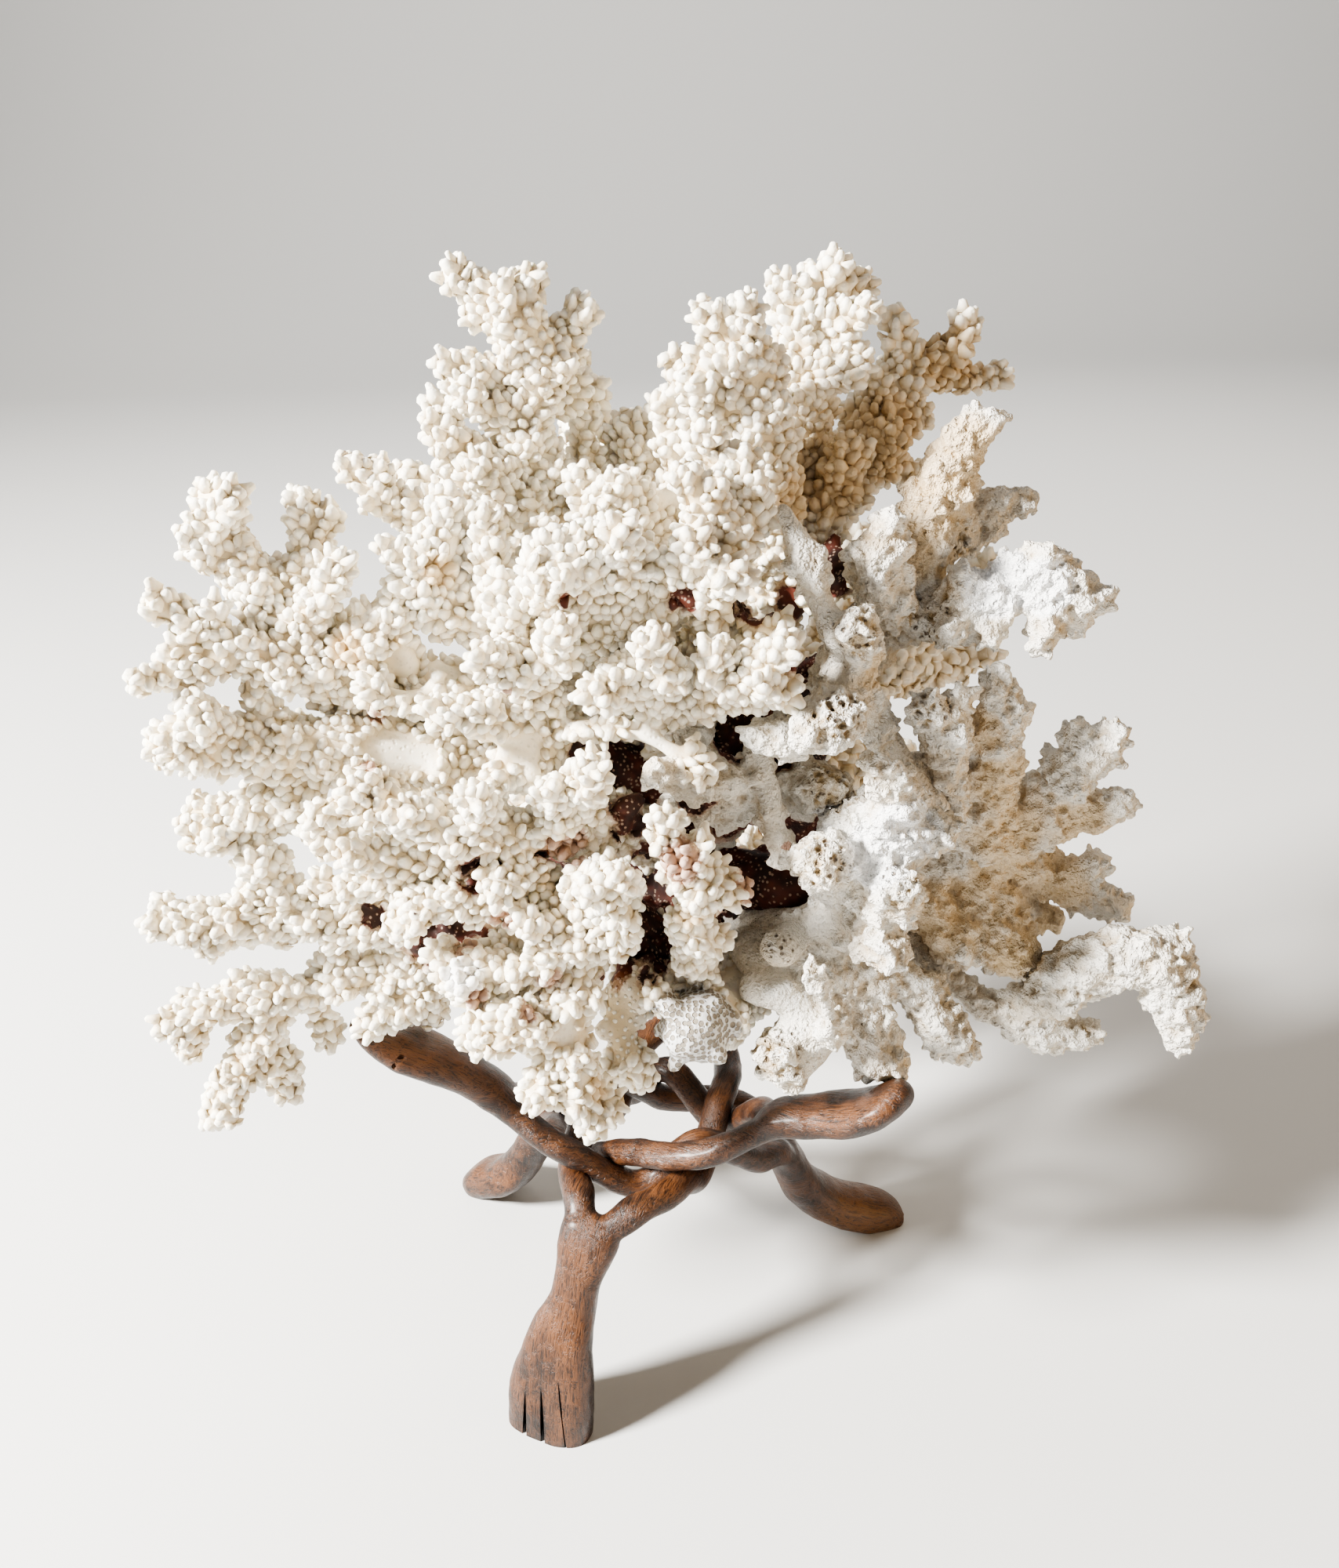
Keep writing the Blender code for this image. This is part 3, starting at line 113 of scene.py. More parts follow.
# The colony's branches as (x, y, z, radius), from root to tip.
LIMBS = {
    "trunk": (
        ((18, 9, 112, 10), (19, 15, 121, 15), (20, 23, 144, 14), (23, 27, 168, 13), (26, 31, 191, 11.5),
         (29, 35, 210, 10)),
        ((19, 13, 124, 11.5), (7, -1, 143, 9.5), (-4, -9, 154, 8)),
        ((20, 17, 151, 11.5), (37, 9, 155, 9.5), (53, -1, 158, 9)),
        ((23, 21, 177, 10.5), (7, 11, 191, 9), (-9, 3, 200, 8)),
        ((26, 25, 191, 10), (42, 17, 205, 9), (58, 9, 217, 8)),
        ((26, 27, 185, 9.5), (42, 15, 190, 9), (56, 5, 193, 8)),
    ),
    "left_low": (
        ((-4, -9, 148, 7.5), (-23, -13, 152, 7), (-40, -17, 155, 7), (-55, -19, 154, 7.5),
         (-68, -21, 163, 6), (-85, -24, 167, 5.5), (-100, -27, 170, 5.5), (-111, -31, 170, 6),
         (-121, -35, 174, 4.5)),
        ((-88, -24, 170, 5), (-95, -25, 179, 6), (-96, -27, 189, 5)),
        ((-78, -21, 160, 3), (-81, -23, 154, 2.5)),
        ((-56, -19, 149, 6.5), (-66, -21, 145, 5.5), (-79, -25, 147, 4), (-88, -27, 144, 4),
         (-100, -31, 146, 5), (-113, -35, 146, 4.5), (-124, -39, 144, 3)),
        ((-117, -37, 143, 2.5), (-121, -39, 136, 2.5)),
        ((-98, -31, 141, 4.5), (-105, -35, 132, 4.5), (-109, -39, 125, 5), (-115, -43, 117, 4.5)),
        ((-102, -29, 130, 3), (-102, -25, 109, 3)),
        ((-88, -25, 137, 2.5), (-87, -23, 126, 2.5)),
        ((-59, -21, 146, 6), (-63, -27, 139, 5.5), (-69, -33, 137, 3.5)),
        ((-57, -15, 144, 4.5), (-58, -13, 125, 3)),
    ),
    "left_mid": (
        ((-9, 3, 200, 7.5), (-26, -5, 205, 7.5), (-45, -11, 209, 8), (-63, -15, 216, 7.5),
         (-79, -19, 217, 7.5), (-92, -23, 221, 7), (-102, -27, 224, 7), (-110, -31, 226, 6)),
        ((-88, -19, 223, 4), (-89, -21, 228, 2.5)),
        ((-96, -27, 227, 3.5), (-101, -33, 233, 3)),
        ((-79, -17, 209, 5), (-88, -21, 204, 5.5), (-99, -24, 199, 6), (-108, -27, 200, 6.5)),
        ((-87, -19, 205, 3), (-85, -21, 198, 2)),
    ),
    "left_high": (
        ((-8, 3, 204, 7), (-27, -1, 219, 6.5), (-45, -5, 228, 7), (-59, -9, 232, 7),
         (-71, -13, 234, 6.5), (-78, -17, 241, 6), (-90, -21, 246, 5), (-101, -25, 246, 4),
         (-109, -29, 246, 3), (-114, -31, 244, 2)),
        ((-101, -23, 250, 3), (-105, -25, 258, 2.5), (-108, -25, 261, 2)),
        ((-107, -27, 243, 2.5), (-105, -29, 237, 2)),
        ((-88, -21, 242, 3), (-91, -21, 236, 2)),
        ((-96, -23, 252, 2), (-97, -23, 258, 1.5)),
        ((-75, -15, 239, 5.5), (-82, -13, 250, 5.5), (-86, -11, 258, 5.5), (-92, -9, 266, 5.5),
         (-98, -9, 272, 6.5), (-97, -11, 279, 5), (-92, -13, 284, 3)),
        ((-81, -13, 254, 5), (-79, -7, 261, 5), (-75, -3, 268, 4.5), (-73, -1, 275, 3.5),
         (-75, -1, 278, 2.5)),
        ((-77, -17, 251, 4), (-70, -19, 260, 3.5), (-65, -21, 267, 2.5)),
        ((-60, -13, 236, 6), (-61, -19, 247, 5), (-59, -19, 253, 2)),
        ((-52, -13, 238, 4.5), (-51, -19, 248, 2.5), (-51, -21, 253, 2)),
        ((-72, -9, 237, 3), (-71, -7, 247, 2.5)),
        ((-36, -11, 228, 5), (-47, -21, 231, 3.5), (-57, -25, 234, 2.5)),
    ),
    "upper_left": (
        ((5, 17, 203, 7.5), (-11, 5, 229, 6.5), (-25, -3, 243, 6.5), (-39, -11, 254, 6.5),
         (-42, -13, 265, 6.5), (-39, -13, 273, 5), (-37, -13, 279, 3)),
        ((-42, -15, 264, 3), (-50, -17, 270, 2)),
        ((-41, -15, 257, 3), (-49, -17, 260, 2)),
        ((-37, -15, 252, 3.5), (-48, -17, 254, 2.5)),
        ((-31, -1, 250, 4.5), (-39, 3, 264, 4), (-45, 5, 271, 4), (-53, 3, 277, 4), (-58, 1, 284, 3.5),
         (-61, 1, 287, 2.5)),
        ((-24, -9, 246, 5.5), (-27, -15, 261, 3.5), (-27, -15, 270, 3.5), (-27, -15, 276, 2)),
        ((-23, -5, 245, 4.5), (-19, -7, 259, 4), (-14, -9, 270, 3)),
    ),
    "top_left": (
        ((27, 33, 203, 7.5), (6, 29, 238, 7), (-7, 25, 259, 6.5), (-15, 21, 275, 7.5), (-19, 19, 287, 7),
         (-18, 19, 298, 6.5), (-13, 19, 308, 6.5), (-18, 17, 318, 6.5), (-23, 17, 325, 5.5),
         (-31, 17, 331, 3)),
        ((-11, 21, 308, 5), (-6, 23, 315, 4), (-3, 23, 320, 2.5)),
        ((-11, 25, 300, 5.5), (-3, 27, 300, 4)),
        ((-19, 17, 306, 3.5), (-28, 15, 309, 2.5), (-35, 13, 311, 2)),
        ((-21, 15, 297, 3.5), (-31, 11, 302, 2.5), (-33, 11, 304, 2)),
        ((-19, 17, 280, 5.5), (-31, 13, 286, 4.5), (-38, 11, 291, 4), (-40, 11, 294, 2.5)),
        ((-16, 15, 271, 5), (-25, 9, 277, 4), (-29, 5, 284, 3)),
        ((-4, 31, 260, 4), (-2, 31, 275, 3.5), (-3, 31, 289, 2.5)),
        ((-19, 19, 328, 3), (-16, 19, 329, 2)),
    ),
    "top_mid": (
        ((29, 33, 211, 7.5), (23, 33, 236, 7), (18, 31, 254, 7), (15, 33, 270, 7), (11, 35, 286, 7)),
        ((23, 27, 250, 5.5), (25, 21, 270, 4.5), (23, 19, 284, 4), (20, 17, 296, 2.5)),
        ((21, 15, 268, 1.5), (21, 13, 277, 1.5), (25, 11, 285, 1.5), (28, 11, 289, 1)),
        ((18, 21, 257, 6), (10, 9, 272, 6), (6, 1, 280, 3.5)),
        ((3, 17, 259, 5.5), (-2, 11, 272, 4.5), (-3, 9, 279, 2.5)),
    ),
    "top_right": (
        ((36, 27, 211, 8), (44, 15, 240, 8), (47, 7, 258, 8.5), (44, 3, 275, 9), (42, 1, 292, 9),
         (40, -1, 307, 8.5), (36, -3, 317, 6), (32, -5, 322, 3)),
        ((39, -3, 315, 4), (39, -3, 322, 2.5)),
        ((36, -5, 307, 4), (29, -9, 311, 3), (26, -9, 309, 2)),
        ((35, -5, 301, 3.5), (27, -9, 306, 2)),
        ((52, 21, 256, 8), (54, 23, 278, 8), (55, 25, 296, 8.5), (57, 27, 311, 7.5), (60, 29, 321, 6.5),
         (64, 29, 328, 3.5)),
        ((61, 25, 314, 4), (67, 21, 317, 3), (72, 19, 320, 2)),
        ((64, 33, 322, 4.5), (71, 37, 323, 3.5)),
        ((60, 21, 302, 4), (68, 19, 306, 3)),
        ((52, 27, 319, 4), (51, 27, 324, 2)),
        ((54, 25, 255, 7), (70, 33, 272, 7.5), (77, 37, 284, 7), (82, 39, 294, 6), (93, 41, 301, 5),
         (101, 41, 305, 3.5), (103, 41, 311, 2)),
        ((86, 39, 298, 4), (86, 39, 307, 3), (84, 39, 313, 1.5)),
        ((97, 41, 299, 3.5), (108, 43, 297, 2.5), (112, 43, 297, 2)),
        ((79, 35, 286, 4), (89, 35, 288, 2.5)),
        ((78, 35, 274, 4.5), (86, 35, 274, 2.5), (90, 35, 273, 2)),
        ((81, 31, 275, 4), (80, 25, 284, 3.5)),
        ((56, 17, 257, 6.5), (65, 13, 275, 5.5), (67, 11, 284, 3.5)),
        ((44, 15, 240, 8), (54, 8, 249, 7), (62, -2, 258, 6)),
    ),
    "centre_high": (
        ((26, 21, 198, 7), (15, 1, 222, 6.5), (7, -15, 245, 6.5), (2, -31, 265, 5), (-1, -39, 276, 3.5)),
        ((8, -17, 248, 5.5), (9, -35, 270, 4.5), (8, -43, 280, 3)),
        ((10, -15, 245, 6), (19, -31, 264, 5), (24, -41, 275, 3.5)),
        ((3, -17, 244, 6), (-9, -29, 259, 5), (-12, -37, 270, 4), (-9, -41, 277, 2)),
        ((-5, -15, 241, 6), (-19, -25, 254, 5), (-23, -29, 261, 3)),
        ((18, -29, 260, 5), (32, -27, 271, 6), (30, -31, 282, 5), (25, -33, 289, 3.5)),
        ((32, -25, 273, 4.5), (31, -21, 289, 4.5), (28, -21, 297, 3)),
        ((34, -23, 270, 5), (40, -25, 282, 3.5), (38, -25, 290, 2.5)),
        ((24, -33, 266, 4), (33, -43, 269, 3.5)),
        ((-3, -33, 263, 3), (-5, -43, 272, 2)),
    ),
    "centre_mid": (
        ((23, 21, 182, 7), (19, -9, 215, 6.5), (16, -29, 234, 5.5), (16, -41, 247, 4), (14, -47, 254, 2)),
        ((17, -27, 230, 5.5), (6, -37, 241, 5), (1, -45, 242, 3)),
        ((19, -25, 229, 5.5), (33, -35, 238, 5.5), (40, -43, 246, 4.5), (44, -45, 251, 3)),
        ((35, -31, 235, 4.5), (29, -43, 249, 3)),
        ((37, -29, 237, 4), (44, -31, 252, 3.5), (48, -35, 253, 2)),
        ((39, -31, 233, 4), (45, -41, 239, 2.5)),
        ((33, -33, 239, 4.5), (34, -19, 248, 4), (28, -29, 256, 3.5), (24, -33, 262, 2.5)),
        ((34, -19, 248, 4.5), (29, -9, 249, 5.5), (28, -15, 240, 5)),
        ((-8, -5, 207, 7.5), (-15, -19, 223, 7), (-17, -29, 238, 5), (-23, -36, 246, 4),
         (-26, -40, 250, 2.5)),
        ((-15, -29, 236, 4), (-12, -37, 248, 3), (-8, -43, 257, 2)),
        ((-15, -21, 222, 6.5), (-27, -29, 228, 5.5), (-33, -35, 234, 4), (-39, -37, 235, 2.5)),
        ((-17, -21, 219, 7), (-23, -29, 216, 6), (-27, -35, 215, 3)),
        ((-10, -29, 225, 2.5), (-1, -33, 227, 2), (11, -36, 226, 2), (18, -38, 222, 2),
         (24, -39, 218, 2)),
    ),
    "left_front": (
        ((11, 13, 168, 7.5), (-2, -15, 189, 7), (-17, -31, 196, 6), (-31, -38, 199, 5.5),
         (-43, -42, 204, 5), (-54, -44, 211, 4), (-66, -45, 213, 3), (-71, -45, 211, 2)),
        ((-29, -29, 191, 5.5), (-47, -31, 186, 5), (-58, -35, 192, 5), (-69, -37, 197, 4.5),
         (-75, -37, 201, 3)),
        ((-55, -33, 184, 4.5), (-65, -36, 184, 3), (-76, -37, 185, 2)),
        ((-6, -23, 194, 6), (-6, -39, 212, 4), (-3, -47, 221, 2.5)),
        ((-12, -29, 197, 5.5), (-13, -43, 213, 3.5)),
        ((-32, -37, 200, 4), (-32, -47, 214, 2.5)),
        ((4, -9, 183, 5), (5, -29, 201, 3)),
        ((-55, -37, 213, 3.5), (-60, -39, 218, 3)),
    ),
    "bottom_left": (
        ((9, 7, 134, 8.5), (-5, -23, 160, 6.5), (-18, -33, 176, 6), (-29, -38, 179, 5),
         (-40, -41, 181, 4.5), (-50, -43, 181, 4), (-56, -43, 177, 3)),
        ((-9, -25, 162, 6), (-4, -43, 183, 6), (2, -51, 192, 4.5)),
        ((-6, -29, 164, 5.5), (2, -47, 181, 4.5), (2, -47, 172, 3.5)),
        ((-9, -31, 163, 5.5), (-9, -45, 169, 5)),
        ((-14, -35, 163, 5), (-19, -46, 175, 2.5), (-21, -48, 178, 2)),
        ((-14, -35, 159, 5), (-20, -45, 162, 3.5), (-25, -47, 162, 2)),
        ((-8, -29, 156, 6.5), (-14, -45, 149, 6.5), (-15, -51, 139, 6), (-11, -55, 129, 5),
         (-8, -59, 120, 3)),
        ((-16, -47, 140, 6), (-27, -53, 149, 5.5), (-35, -55, 147, 5)),
        ((-19, -53, 134, 4.5), (-22, -59, 131, 3)),
        ((-10, -53, 128, 3), (-3, -55, 122, 1.5)),
        ((-15, -31, 153, 5.5), (-29, -39, 155, 5.5), (-41, -45, 160, 5.5)),
        ((-20, -21, 153, 2.5), (-34, -29, 159, 2), (-47, -35, 161, 2)),
        ((-17, -31, 179, 4.5), (-24, -39, 189, 4), (-28, -45, 189, 3)),
    ),
    "centre_low": (
        ((21, 11, 113, 8.5), (22, -21, 140, 5.5), (22, -39, 165, 4.5), (21, -44, 176, 3.5),
         (24, -48, 187, 5.5), (20, -51, 197, 4), (15, -52, 204, 2.5), (15, -52, 208, 2)),
        ((23, -49, 193, 3), (24, -50, 201, 1.5)),
        ((26, -47, 189, 3.5), (31, -47, 187, 2.5)),
        ((21, -39, 162, 3), (27, -41, 165, 2)),
        ((16, 1, 123, 7.5), (5, -23, 141, 5.5), (1, -31, 137, 5), (1, -37, 129, 4), (5, -39, 121, 4.5)),
        ((5, -27, 140, 4.5), (10, -37, 145, 3)),
        ((1, -37, 123, 3), (-5, -39, 119, 2.5)),
        ((27, 1, 126, 8.5), (33, -19, 131, 8.5), (25, -35, 135, 9.5), (20, -43, 136, 9.5)),
    ),
    "bottom_right": (
        ((39, 7, 136, 8.5), (52, -13, 149, 8), (63, -21, 157, 8.5), (72, -29, 171, 8.5),
         (75, -35, 192, 7.5), (76, -39, 208, 5.5), (70, -43, 218, 3)),
        ((68, -27, 176, 7), (55, -43, 191, 6.5)),
        ((73, -33, 169, 7.5), (77, -47, 183, 6)),
        ((72, -35, 165, 7), (74, -47, 164, 5.5)),
        ((52, -15, 150, 6.5), (46, -35, 158, 5.5)),
        ((45, -11, 145, 7), (40, -21, 145, 6), (62, -25, 142, 7.5), (78, -25, 140, 6)),
        ((60, -23, 139, 8), (55, -35, 131, 9), (50, -41, 124, 8)),
        ((69, -23, 135, 7), (73, -31, 123, 7.5), (78, -35, 116, 6)),
        ((52, -38, 126, 8), (45, -43, 128, 7)),
        ((57, -38, 131, 5), (60, -46, 138, 2.8), (57, -51, 152, 1.8), (53, -54, 164, 1.2)),
        ((78, -23, 141, 5), (90, -25, 133, 5.5), (93, -27, 127, 6.5), (100, -29, 119, 5.5)),
        ((81, -33, 188, 5.5), (88, -37, 195, 4)),
        ((61, -25, 190, 5.5), (69, -29, 196, 5)),
    ),
    "bone_front": (
        ((29, 11, 171, 6), (38, -13, 197, 6.5), (26, -31, 210, 6), (16, -40, 217, 4),
         (12, -44, 221, 2.5)),
        ((36, -17, 194, 5.5), (19, -29, 202, 3.5)),
        ((38, -13, 197, 6), (50, -15, 200, 6), (60, -21, 201, 6)),
        ((27, -21, 213, 4), (23, -25, 221, 3.5)),
        ((49, -17, 215, 4.5), (41, -23, 216, 3), (43, -27, 206, 3.5), (45, -29, 195, 3.5),
         (48, -31, 187, 3)),
    ),
    "right_high": (
        ((58, 11, 217, 7.5), (70, 3, 229, 7.5), (80, 1, 246, 7.5), (85, 1, 257, 8.5), (90, 3, 268, 8.5),
         (94, 5, 280, 6.5), (98, 5, 290, 4.5), (103, 5, 293, 2.5)),
        ((98, 7, 266, 5), (107, 9, 270, 3.5), (115, 9, 270, 2.5)),
        ((97, 7, 261, 5), (105, 7, 264, 3)),
        ((78, -9, 247, 6.5), (71, -19, 263, 6), (73, -22, 272, 4.5)),
        ((81, -5, 243, 5.5), (95, -11, 248, 6), (107, -13, 256, 5), (115, -17, 260, 5.5),
         (124, -19, 253, 4.5), (129, -19, 253, 2.5)),
        ((94, -13, 249, 4), (94, -15, 256, 3.5)),
        ((95, -13, 248, 4), (92, -17, 244, 3)),
        ((115, -17, 257, 4.5), (117, -21, 248, 4), (115, -21, 241, 2)),
        ((125, -17, 252, 3.5), (125, -17, 244, 2.5)),
        ((106, -15, 255, 3.5), (102, -19, 244, 2.5)),
        ((63, -5, 226, 6.5), (65, -25, 240, 5.5), (64, -36, 252, 5.5)),
        ((47, -25, 280, 2.5), (52, -29, 270, 4), (56, -31, 258, 3.5), (63, -31, 245, 5),
         (65, -29, 232, 5.5), (73, -27, 221, 4), (80, -25, 210, 3.5), (89, -23, 197, 3)),
        ((65, -29, 232, 5.5), (59, -42, 231, 6.5), (53, -47, 230, 5)),
        ((60, -27, 228, 5), (47, -35, 223, 4.5), (41, -35, 224, 3)),
    ),
    "right_mid": (
        ((53, 1, 157, 8), (76, -1, 165, 7.5), (97, -1, 167, 8), (115, -3, 173, 9.5), (126, -7, 187, 7),
         (130, -11, 199, 6), (136, -15, 206, 4.5), (139, -17, 211, 3)),
        ((131, -11, 201, 4.5), (130, -13, 210, 3)),
        ((121, -5, 176, 6), (133, -9, 183, 5), (143, -13, 188, 4)),
        ((118, -3, 167, 8.5), (128, -3, 161, 6), (137, -7, 157, 5.5), (148, -9, 153, 3.5)),
        ((137, -7, 159, 4), (140, -9, 166, 3)),
        ((114, -1, 161, 8), (122, -1, 148, 5.5), (131, -1, 143, 3.5)),
        ((107, -9, 174, 7), (107, -15, 197, 6), (107, -19, 214, 5), (106, -21, 227, 4),
         (104, -21, 232, 2.5)),
        ((106, -19, 218, 3.5), (112, -19, 221, 2)),
        ((98, -11, 180, 6), (92, -23, 207, 4.5), (89, -29, 223, 5.5), (84, -31, 228, 3)),
        ((89, -29, 226, 3.5), (94, -29, 230, 2.5)),
        ((93, -15, 205, 3), (98, -17, 213, 3)),
        ((106, -3, 162, 7.5), (112, -10, 152, 7.5), (116, -17, 142, 7.5)),
        ((76, -1, 165, 7.5), (90, -7, 156, 7), (101, -16, 145, 6.5)),
    ),
    "right_low": (
        ((53, 3, 150, 6.5), (81, -5, 142, 5.5), (97, -13, 134, 3.5), (111, -19, 124, 3.5),
         (124, -21, 127, 7), (134, -25, 140, 8), (145, -29, 147, 8), (156, -31, 145, 8),
         (161, -33, 133, 6), (163, -35, 123, 3.5)),
        ((117, -21, 123, 4.5), (128, -23, 116, 5), (139, -25, 118, 3.5)),
        ((154, -29, 148, 5), (159, -29, 151, 3.5)),
        ((158, -33, 139, 4.5), (164, -33, 136, 2.5)),
    ),
    "back_left": (
        ((18, 26, 150, 8.5), (-10, 42, 158, 7), (-38, 56, 166, 7), (-62, 66, 176, 6), (-80, 72, 190, 4)),
        ((-38, 56, 166, 6), (-56, 72, 158, 5.5), (-72, 84, 156, 4)),
        ((-10, 42, 158, 7), (-24, 62, 172, 6), (-36, 80, 186, 5.5), (-44, 88, 200, 4)),
        ((-24, 62, 172, 5.5), (-20, 82, 160, 5), (-18, 93, 150, 3.5)),
        ((-62, 66, 176, 5), (-86, 60, 168, 4)),
        ((-10, 42, 158, 6.5), (-30, 50, 136, 6), (-52, 58, 124, 5), (-66, 64, 122, 3.5)),
        ((-30, 50, 136, 5.5), (-34, 72, 128, 5), (-38, 86, 126, 3.5)),
        ((-36, 80, 186, 4.5), (-54, 84, 192, 3.5)),
    ),
    "back_high": (
        ((24, 30, 210, 8.5), (16, 44, 236, 7), (4, 54, 262, 6.5), (-6, 60, 288, 5.5), (-10, 62, 302, 4)),
        ((4, 54, 262, 6), (20, 66, 280, 5.5), (26, 72, 296, 4)),
        ((16, 44, 236, 7), (-14, 56, 240, 6), (-40, 62, 252, 5.5), (-58, 64, 268, 4)),
        ((-14, 56, 240, 6), (-24, 74, 236, 5), (-34, 84, 238, 4)),
        ((-40, 62, 252, 5), (-44, 56, 276, 4), (-46, 54, 290, 3.5)),
        ((16, 44, 236, 7), (30, 64, 240, 6), (38, 82, 250, 5), (42, 90, 262, 4)),
        ((30, 64, 240, 5.5), (16, 82, 232, 4.5), (8, 92, 230, 3.5)),
        ((38, 82, 250, 4), (54, 84, 246, 3.5)),
    ),
    "back_right": (
        ((34, 28, 180, 8.5), (58, 42, 190, 7), (84, 50, 204, 6.5), (106, 54, 222, 5.5),
         (116, 54, 236, 4)),
        ((84, 50, 204, 6), (104, 64, 200, 5), (122, 70, 202, 4)),
        ((58, 42, 190, 7), (66, 64, 204, 6), (76, 78, 222, 5), (82, 84, 236, 4)),
        ((66, 64, 204, 5.5), (58, 84, 196, 4.5), (56, 94, 192, 3.5)),
        ((58, 42, 190, 7), (84, 50, 168, 6), (108, 52, 156, 5), (124, 50, 152, 4)),
        ((84, 50, 168, 5.5), (92, 70, 162, 5), (98, 82, 160, 4)),
        ((76, 78, 222, 4), (94, 78, 230, 3.5)),
    ),
    "back_low": (
        ((20, 28, 135, 9.5), (32, 46, 136, 7.5), (42, 62, 134, 7), (52, 76, 138, 5.5), (58, 86, 144, 4)),
        ((32, 46, 136, 7), (22, 66, 142, 6.5), (12, 82, 150, 5), (8, 92, 158, 4)),
        ((42, 62, 134, 6), (60, 66, 126, 5), (76, 70, 124, 4)),
        ((22, 66, 142, 5.5), (4, 76, 134, 4.5), (-6, 84, 128, 3.5)),
        ((52, 76, 138, 4.5), (40, 90, 134, 3.5)),
        ((32, 46, 136, 7), (60, 40, 130, 6.5), (84, 42, 124, 5.5), (102, 40, 122, 4)),
    ),
}

# Patches of the coral that show each mark, as (x, y, z, radius).
PATCHES = {
    Mark.RUST: (
        (-61, -16, 225, 3), (-50, -21, 217, 3), (-59, -41, 222, 2.5), (-22, -38, 241, 2.5),
        (-11, -37, 195, 7), (-40, -38, 164, 5), (-29, -45, 176, 4), (-24, -48, 178, 3),
        (-17, -48, 160, 4), (-23, -55, 155, 4), (-37, -51, 157, 4), (19, -54, 199, 7),
        (21, -50, 194, 5), (36, -46, 186, 6), (48, -33, 190, 1.5), (1, -29, 146, 4), (50, 66, 141, 4),
        (30, -42, 178, 6), (-60, -25, 161, 5), (-58, -27, 232, 3),
    ),
    Mark.STAIN: (
        (-7, -21, 215, 4), (-5, -40, 264, 3), (-35, -41, 190, 6), (-28, -38, 190, 4), (7, -32, 204, 7),
        (-19, -34, 192, 4), (57, 9, 224, 12), (60, 4, 250, 8), (41, -28, 256, 5), (38, 11, 198, 10),
        (-44, -25, 161, 8), (-50, -26, 160, 6), (-42, 48, 167, 6), (-19, 40, 143, 12), (61, 81, 147, 8),
        (-2, -39, 151, 3.5), (50, 20, 205, 12), (8, -26, 196, 8), (6, -19, 157, 8), (10, -14, 146, 9),
        (9, -33, 150, 4), (12, -12, 172, 10), (34, -7, 182, 10), (36, -12, 196, 8), (33, -20, 213, 6),
        (46, -10, 206, 8), (1, -24, 146, 5), (30, -14, 170, 9), (58, 6, 226, 9), (-33, -39, 189, 5),
        (-43, -27, 160, 6), (24, -30, 205, 6), (22, -38, 262, 4), (39, -25, 257, 6), (50, -42, 249, 5),
        (-51, -27, 158, 9), (-41, -25, 154, 8), (54, -6, 184, 9), (-68, -26, 168, 4), (62, -1, 258, 9),
        (55, 6, 249, 9),
    ),
    # Tan patches are partly the coral's own tan and partly painted warm shade, as on right_mid's
    # right-facing arms.
    Mark.TAN: (
        (133, -9, 183, 12), (126, -7, 187, 11), (131, -1, 143, 10), (109, -23, 201, 11),
        (112, -17, 183, 13), (114, -12, 165, 12), (102, -18, 217, 9), (71, -34, 240, 6),
        (-15, -40, 186, 4), (21, -52, 180, 6), (90, 0, 282, 14), (86, -4, 271, 11), (97, 2, 287, 10),
        (82, -7, 263, 9), (116, -19, 145, 10), (78, 25, 285, 16), (63, 9, 281, 14), (54, -8, 277, 9),
        (100, 41, 303, 12), (-65, -22, 246, 6), (-39, -20, 266, 5), (-8, -56, 147, 5),
        (-4, -58, 130, 5), (130, -7, 160, 12), (113, -12, 150, 12), (98, -12, 152, 14),
    ),
    Mark.BARE: (
        (-56, -24, 217, 9), (-49, -22, 215, 6), (-28, -30, 223, 6), (-50, -22, 239, 7),
        (-42, -10, 236, 7), (-34, -20, 269, 5), (-19, -34, 221, 6), (-8, -31, 230, 4),
        (51, -6, 156, 14), (39, -24, 147, 14), (52, -33, 162, 13), (58, -50, 149, 6), (49, -38, 136, 9),
        (50, -31, 274, 6), (49, -26, 278, 6), (55, -33, 255, 8), (58, -34, 246, 6), (69, -36, 227, 6),
        (79, -28, 214, 7), (85, -29, 205, 7), (44, -28, 214, 6), (45, -30, 205, 6), (47, -34, 195, 7),
        (24, 11, 278, 9), (-1, -12, 212, 6), (12, -38, 222, 8), (-12, -56, 147, 5), (-8, -60, 134, 4),
        (56, -42, 126, 9),
    ),
    Mark.PORES: (
        (87, -14, 246, 7), (63, -39, 253, 6), (59, -47, 234, 7), (85, -33, 229, 5), (58, -46, 193, 7),
        (76, -48, 186, 6), (47, -38, 160, 6), (42, -44, 129, 6), (93, 2, 262, 8), (61, -23, 202, 8),
        (45, -44, 129, 9),
    ),
    Mark.HONEYCOMB: (
        (21, -44, 137, 15),
    ),
    Mark.BEADS: (
        (2, -39, 136, 10), (1, -33, 145, 8),
    ),
    Mark.WHITE: (
        (-40, -50, 163, 6), (78, -44, 199, 10), (71, -43, 192, 10), (103, -16, 257, 10),
        (114, -22, 257, 8), (60, -25, 190, 8),
    ),
    # Holes are dented in and painted dark as the shade inside them.
    Mark.HOLE: (
        (64, -36, 147, 2.0), (-50, -50, 183, 1.3),
    ),
}

